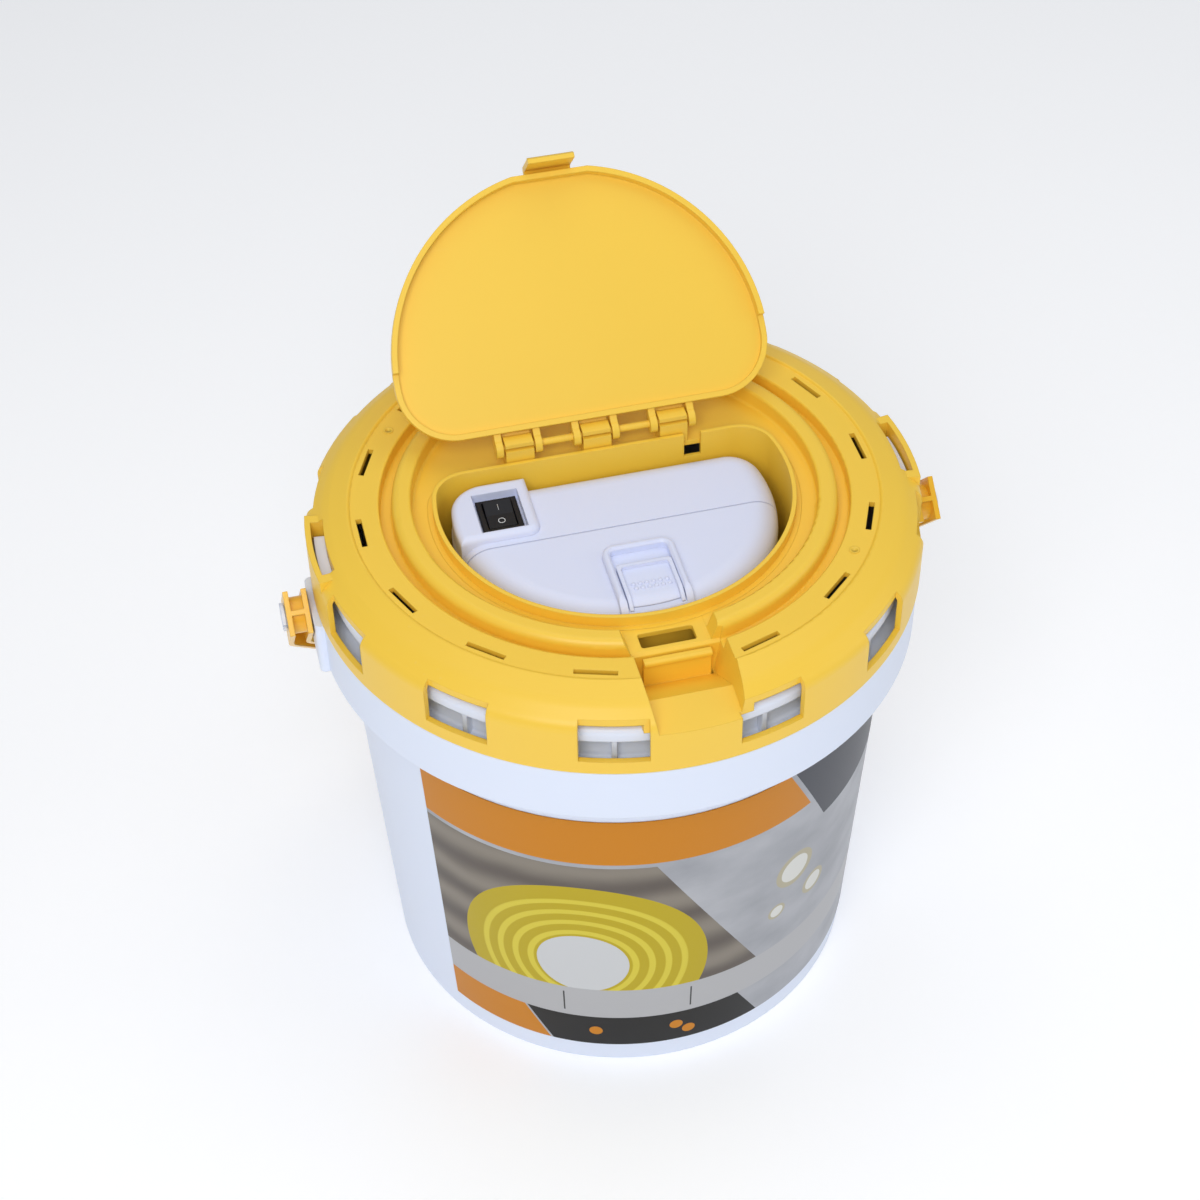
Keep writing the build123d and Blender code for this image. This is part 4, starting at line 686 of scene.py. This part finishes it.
@dataclass
class Switch:
    """The rocker switch and its two marks.

    Attributes:
        x: The switch's middle.
        y: The switch's middle.
        pivot: Height that the rocker turns at.
        tilt: Its tilt at rest in degrees.
        crown: Height of the rocker's middle over the pivot.
        slope: Slope of each half in degrees.
        reach: Distance of a mark from the middle.
        size: A mark's half height.
        ink: Thickness of the print.
    """

    x: float = -0.0394
    y: float = 0.0038
    pivot: float = 0.2
    tilt: float = 7.0
    crown: float = 0.0023
    slope: float = 4.61
    reach: float = 0.0031
    size: float = 0.00125
    ink: float = 0.00006

    def build(self) -> None:
        """Dress the switch and print its marks."""
        dress("switch_body", BLACK)
        dress("switch_rocker", ROCKER)
        dress("switch_terminals", NICKEL)
        self.bar()
        self.ring()

    def seat(self, piece: bpy.types.Object, side: int) -> None:
        """Lay a flat mark on the rocker's front or back half.

        Args:
            piece: The mark, modelled flat at the origin.
            side: 1 for the back half, -1 for the front half.
        """
        rise = self.crown + self.reach * math.tan(math.radians(self.slope)) + 0.00002
        local = Matrix.Translation((0.0, side * self.reach, rise)) @ Matrix.Rotation(math.radians(side * self.slope), 4, "X")
        rocker = Matrix.Translation((self.x, self.y, self.pivot)) @ Matrix.Rotation(math.radians(self.tilt), 4, "X")
        piece.matrix_world = rocker @ local

    def bar(self) -> None:
        """Model the upright mark of the on side."""
        clear_selection()
        bpy.ops.mesh.primitive_cube_add(size=1.0)
        piece = bpy.context.object
        piece.scale = (self.size * 0.2, self.size * 2, self.ink)
        bpy.ops.object.transform_apply(location=False, rotation=False, scale=True)
        soft = piece.modifiers.new("soft", "BEVEL")
        soft.width = self.ink * 0.3
        soft.segments = 2
        bpy.ops.object.modifier_apply(modifier=soft.name)
        self.seat(piece, 1)
        settle(piece)
        finish_piece(piece, "mark_on", "rocker", PRINT)

    def ring(self) -> None:
        """Model the round mark of the off side."""
        clear_selection()
        bpy.ops.mesh.primitive_circle_add(vertices=48, radius=self.size, fill_type="NGON")
        piece = bpy.context.object
        bpy.ops.object.mode_set(mode="EDIT")
        bpy.ops.mesh.select_all(action="SELECT")
        bpy.ops.mesh.inset(thickness=self.size * 0.2)
        bpy.ops.mesh.delete(type="FACE")
        bpy.ops.mesh.select_all(action="SELECT")
        bpy.ops.mesh.extrude_region_move(TRANSFORM_OT_translate={"value": (0.0, 0.0, self.ink)})
        bpy.ops.mesh.select_all(action="SELECT")
        bpy.ops.mesh.normals_make_consistent(inside=False)
        bpy.ops.object.mode_set(mode="OBJECT")
        self.seat(piece, -1)
        settle(piece)
        finish_piece(piece, "mark_off", "rocker", PRINT)


@dataclass
class Aerator:
    """The lift-out housing and the works inside it."""

    def build(self) -> None:
        """Dress the housing and its works."""
        for node in ("aerator_case", "screw_columns", "aerator_top", "battery_cover", "cover_latch"):
            dress(node, PALE)
        finishes = {
            "case_gasket": RUBBER,
            "case_screws": STEEL,
            "battery_cells": SLEEVE,
            "bottom_contact": NICKEL,
            "top_contact": NICKEL,
            "contact_springs": NICKEL,
            "motor": STEEL,
            "motor_shaft": STEEL,
            "motor_bracket": NATURAL,
            "crank_disc": NATURAL,
            "pump_yoke": NATURAL,
            "diaphragm": RUBBER,
            "pump_head": NATURAL,
            "outlet_barb": BRASS,
            "drop_tube": TUBE,
            "air_stone": STONE,
            "lead_positive": RED_LEAD,
            "lead_negative": BLACK_LEAD,
        }
        for node, finish in finishes.items():
            dress(node, finish)
        Switch().build()


# ---------------------------------------------------------------- studio
@dataclass
class Studio:
    """The floor, the lights and the camera.

    Attributes:
        elevation: The camera's angle above the horizon in degrees.
        azimuth: How far the bucket is turned from square on in degrees.
        roll: The camera's tilt about its own axis in degrees.
        distance: From the camera to the point it is aimed at.
        aim_side: That point's offset to the camera's right.
        aim_height: That point's height.
        lens: Focal length in millimetres on a 36 mm sensor.
    """

    elevation: float = 44.103
    azimuth: float = 13.1
    roll: float = -1.204
    distance: float = 0.80907
    aim_side: float = -0.00565
    aim_height: float = 0.15519
    lens: float = 67.907

    def build(self) -> None:
        """Set the stage."""
        self.lay_floor()
        self.hang_lights()
        self.stand_camera()

    def lay_floor(self) -> None:
        """Model a pale flat floor."""
        clear_selection()
        bpy.ops.mesh.primitive_plane_add(size=6.0, location=(0.0, 0.0, -0.0002))
        floor = bpy.context.object
        floor.name = "studio_floor"
        floor.data.materials.append(FLOOR.make())

    def hang_lights(self) -> None:
        """Hang the softboxes and light the surroundings."""
        self.softbox("key_box", (-0.40, -0.95, 1.15), 0.8, 10.0)
        self.softbox("top_box", (0.15, 0.30, 1.5), 1.3, 5.0)
        self.softbox("side_box", (1.25, -0.35, 0.8), 0.8, 2.0)
        world = bpy.data.worlds.new("studio_world")
        world.use_nodes = True
        sky = world.node_tree.nodes["Background"]
        sky.inputs["Color"].default_value = (0.90, 0.94, 1.0, 1.0)
        sky.inputs["Strength"].default_value = 0.38
        bpy.context.scene.world = world
        bpy.context.scene.view_settings.view_transform = "Standard"

    def softbox(self, name: str, place: tuple[float, float, float], size: float, power: float) -> None:
        """Hang one square softbox aimed at the bucket.

        Args:
            name: The light's name.
            place: Where it hangs.
            size: Its side.
            power: Its power in watts.
        """
        light = bpy.data.lights.new(name, "AREA")
        light.shape = "SQUARE"
        light.size = size
        light.energy = power
        lamp = bpy.data.objects.new(name, light)
        bpy.context.scene.collection.objects.link(lamp)
        lamp.location = place
        lamp.rotation_euler = (Vector(place) - Vector((0.0, 0.0, 0.12))).to_track_quat("Z", "Y").to_euler()

    def stand_camera(self) -> None:
        """Stand the camera at the photograph's viewpoint."""
        camera = bpy.data.cameras.new("camera")
        camera.lens = self.lens
        camera.sensor_width = 36.0
        camera.dof.use_dof = False
        eye = bpy.data.objects.new("camera", camera)
        bpy.context.scene.collection.objects.link(eye)
        turn = Matrix.Rotation(math.radians(-self.azimuth), 4, "Z")
        aim = Matrix.Translation((self.aim_side, 0.0, self.aim_height))
        tip = Matrix.Rotation(math.radians(90.0 - self.elevation), 4, "X")
        back = Matrix.Translation((0.0, 0.0, self.distance))
        spin = Matrix.Rotation(math.radians(self.roll), 4, "Z")
        eye.matrix_world = turn @ aim @ tip @ back @ spin
        bpy.context.scene.camera = eye


def main() -> None:
    """Build the looks in order."""
    logging.basicConfig(level=logging.INFO, format="%(name)s: %(message)s")
    for assembly in (Bucket(), Lid(), Aerator(), Studio()):
        log.info("building %s", type(assembly).__name__)
        assembly.build()


if __name__ == "__main__":
    main()
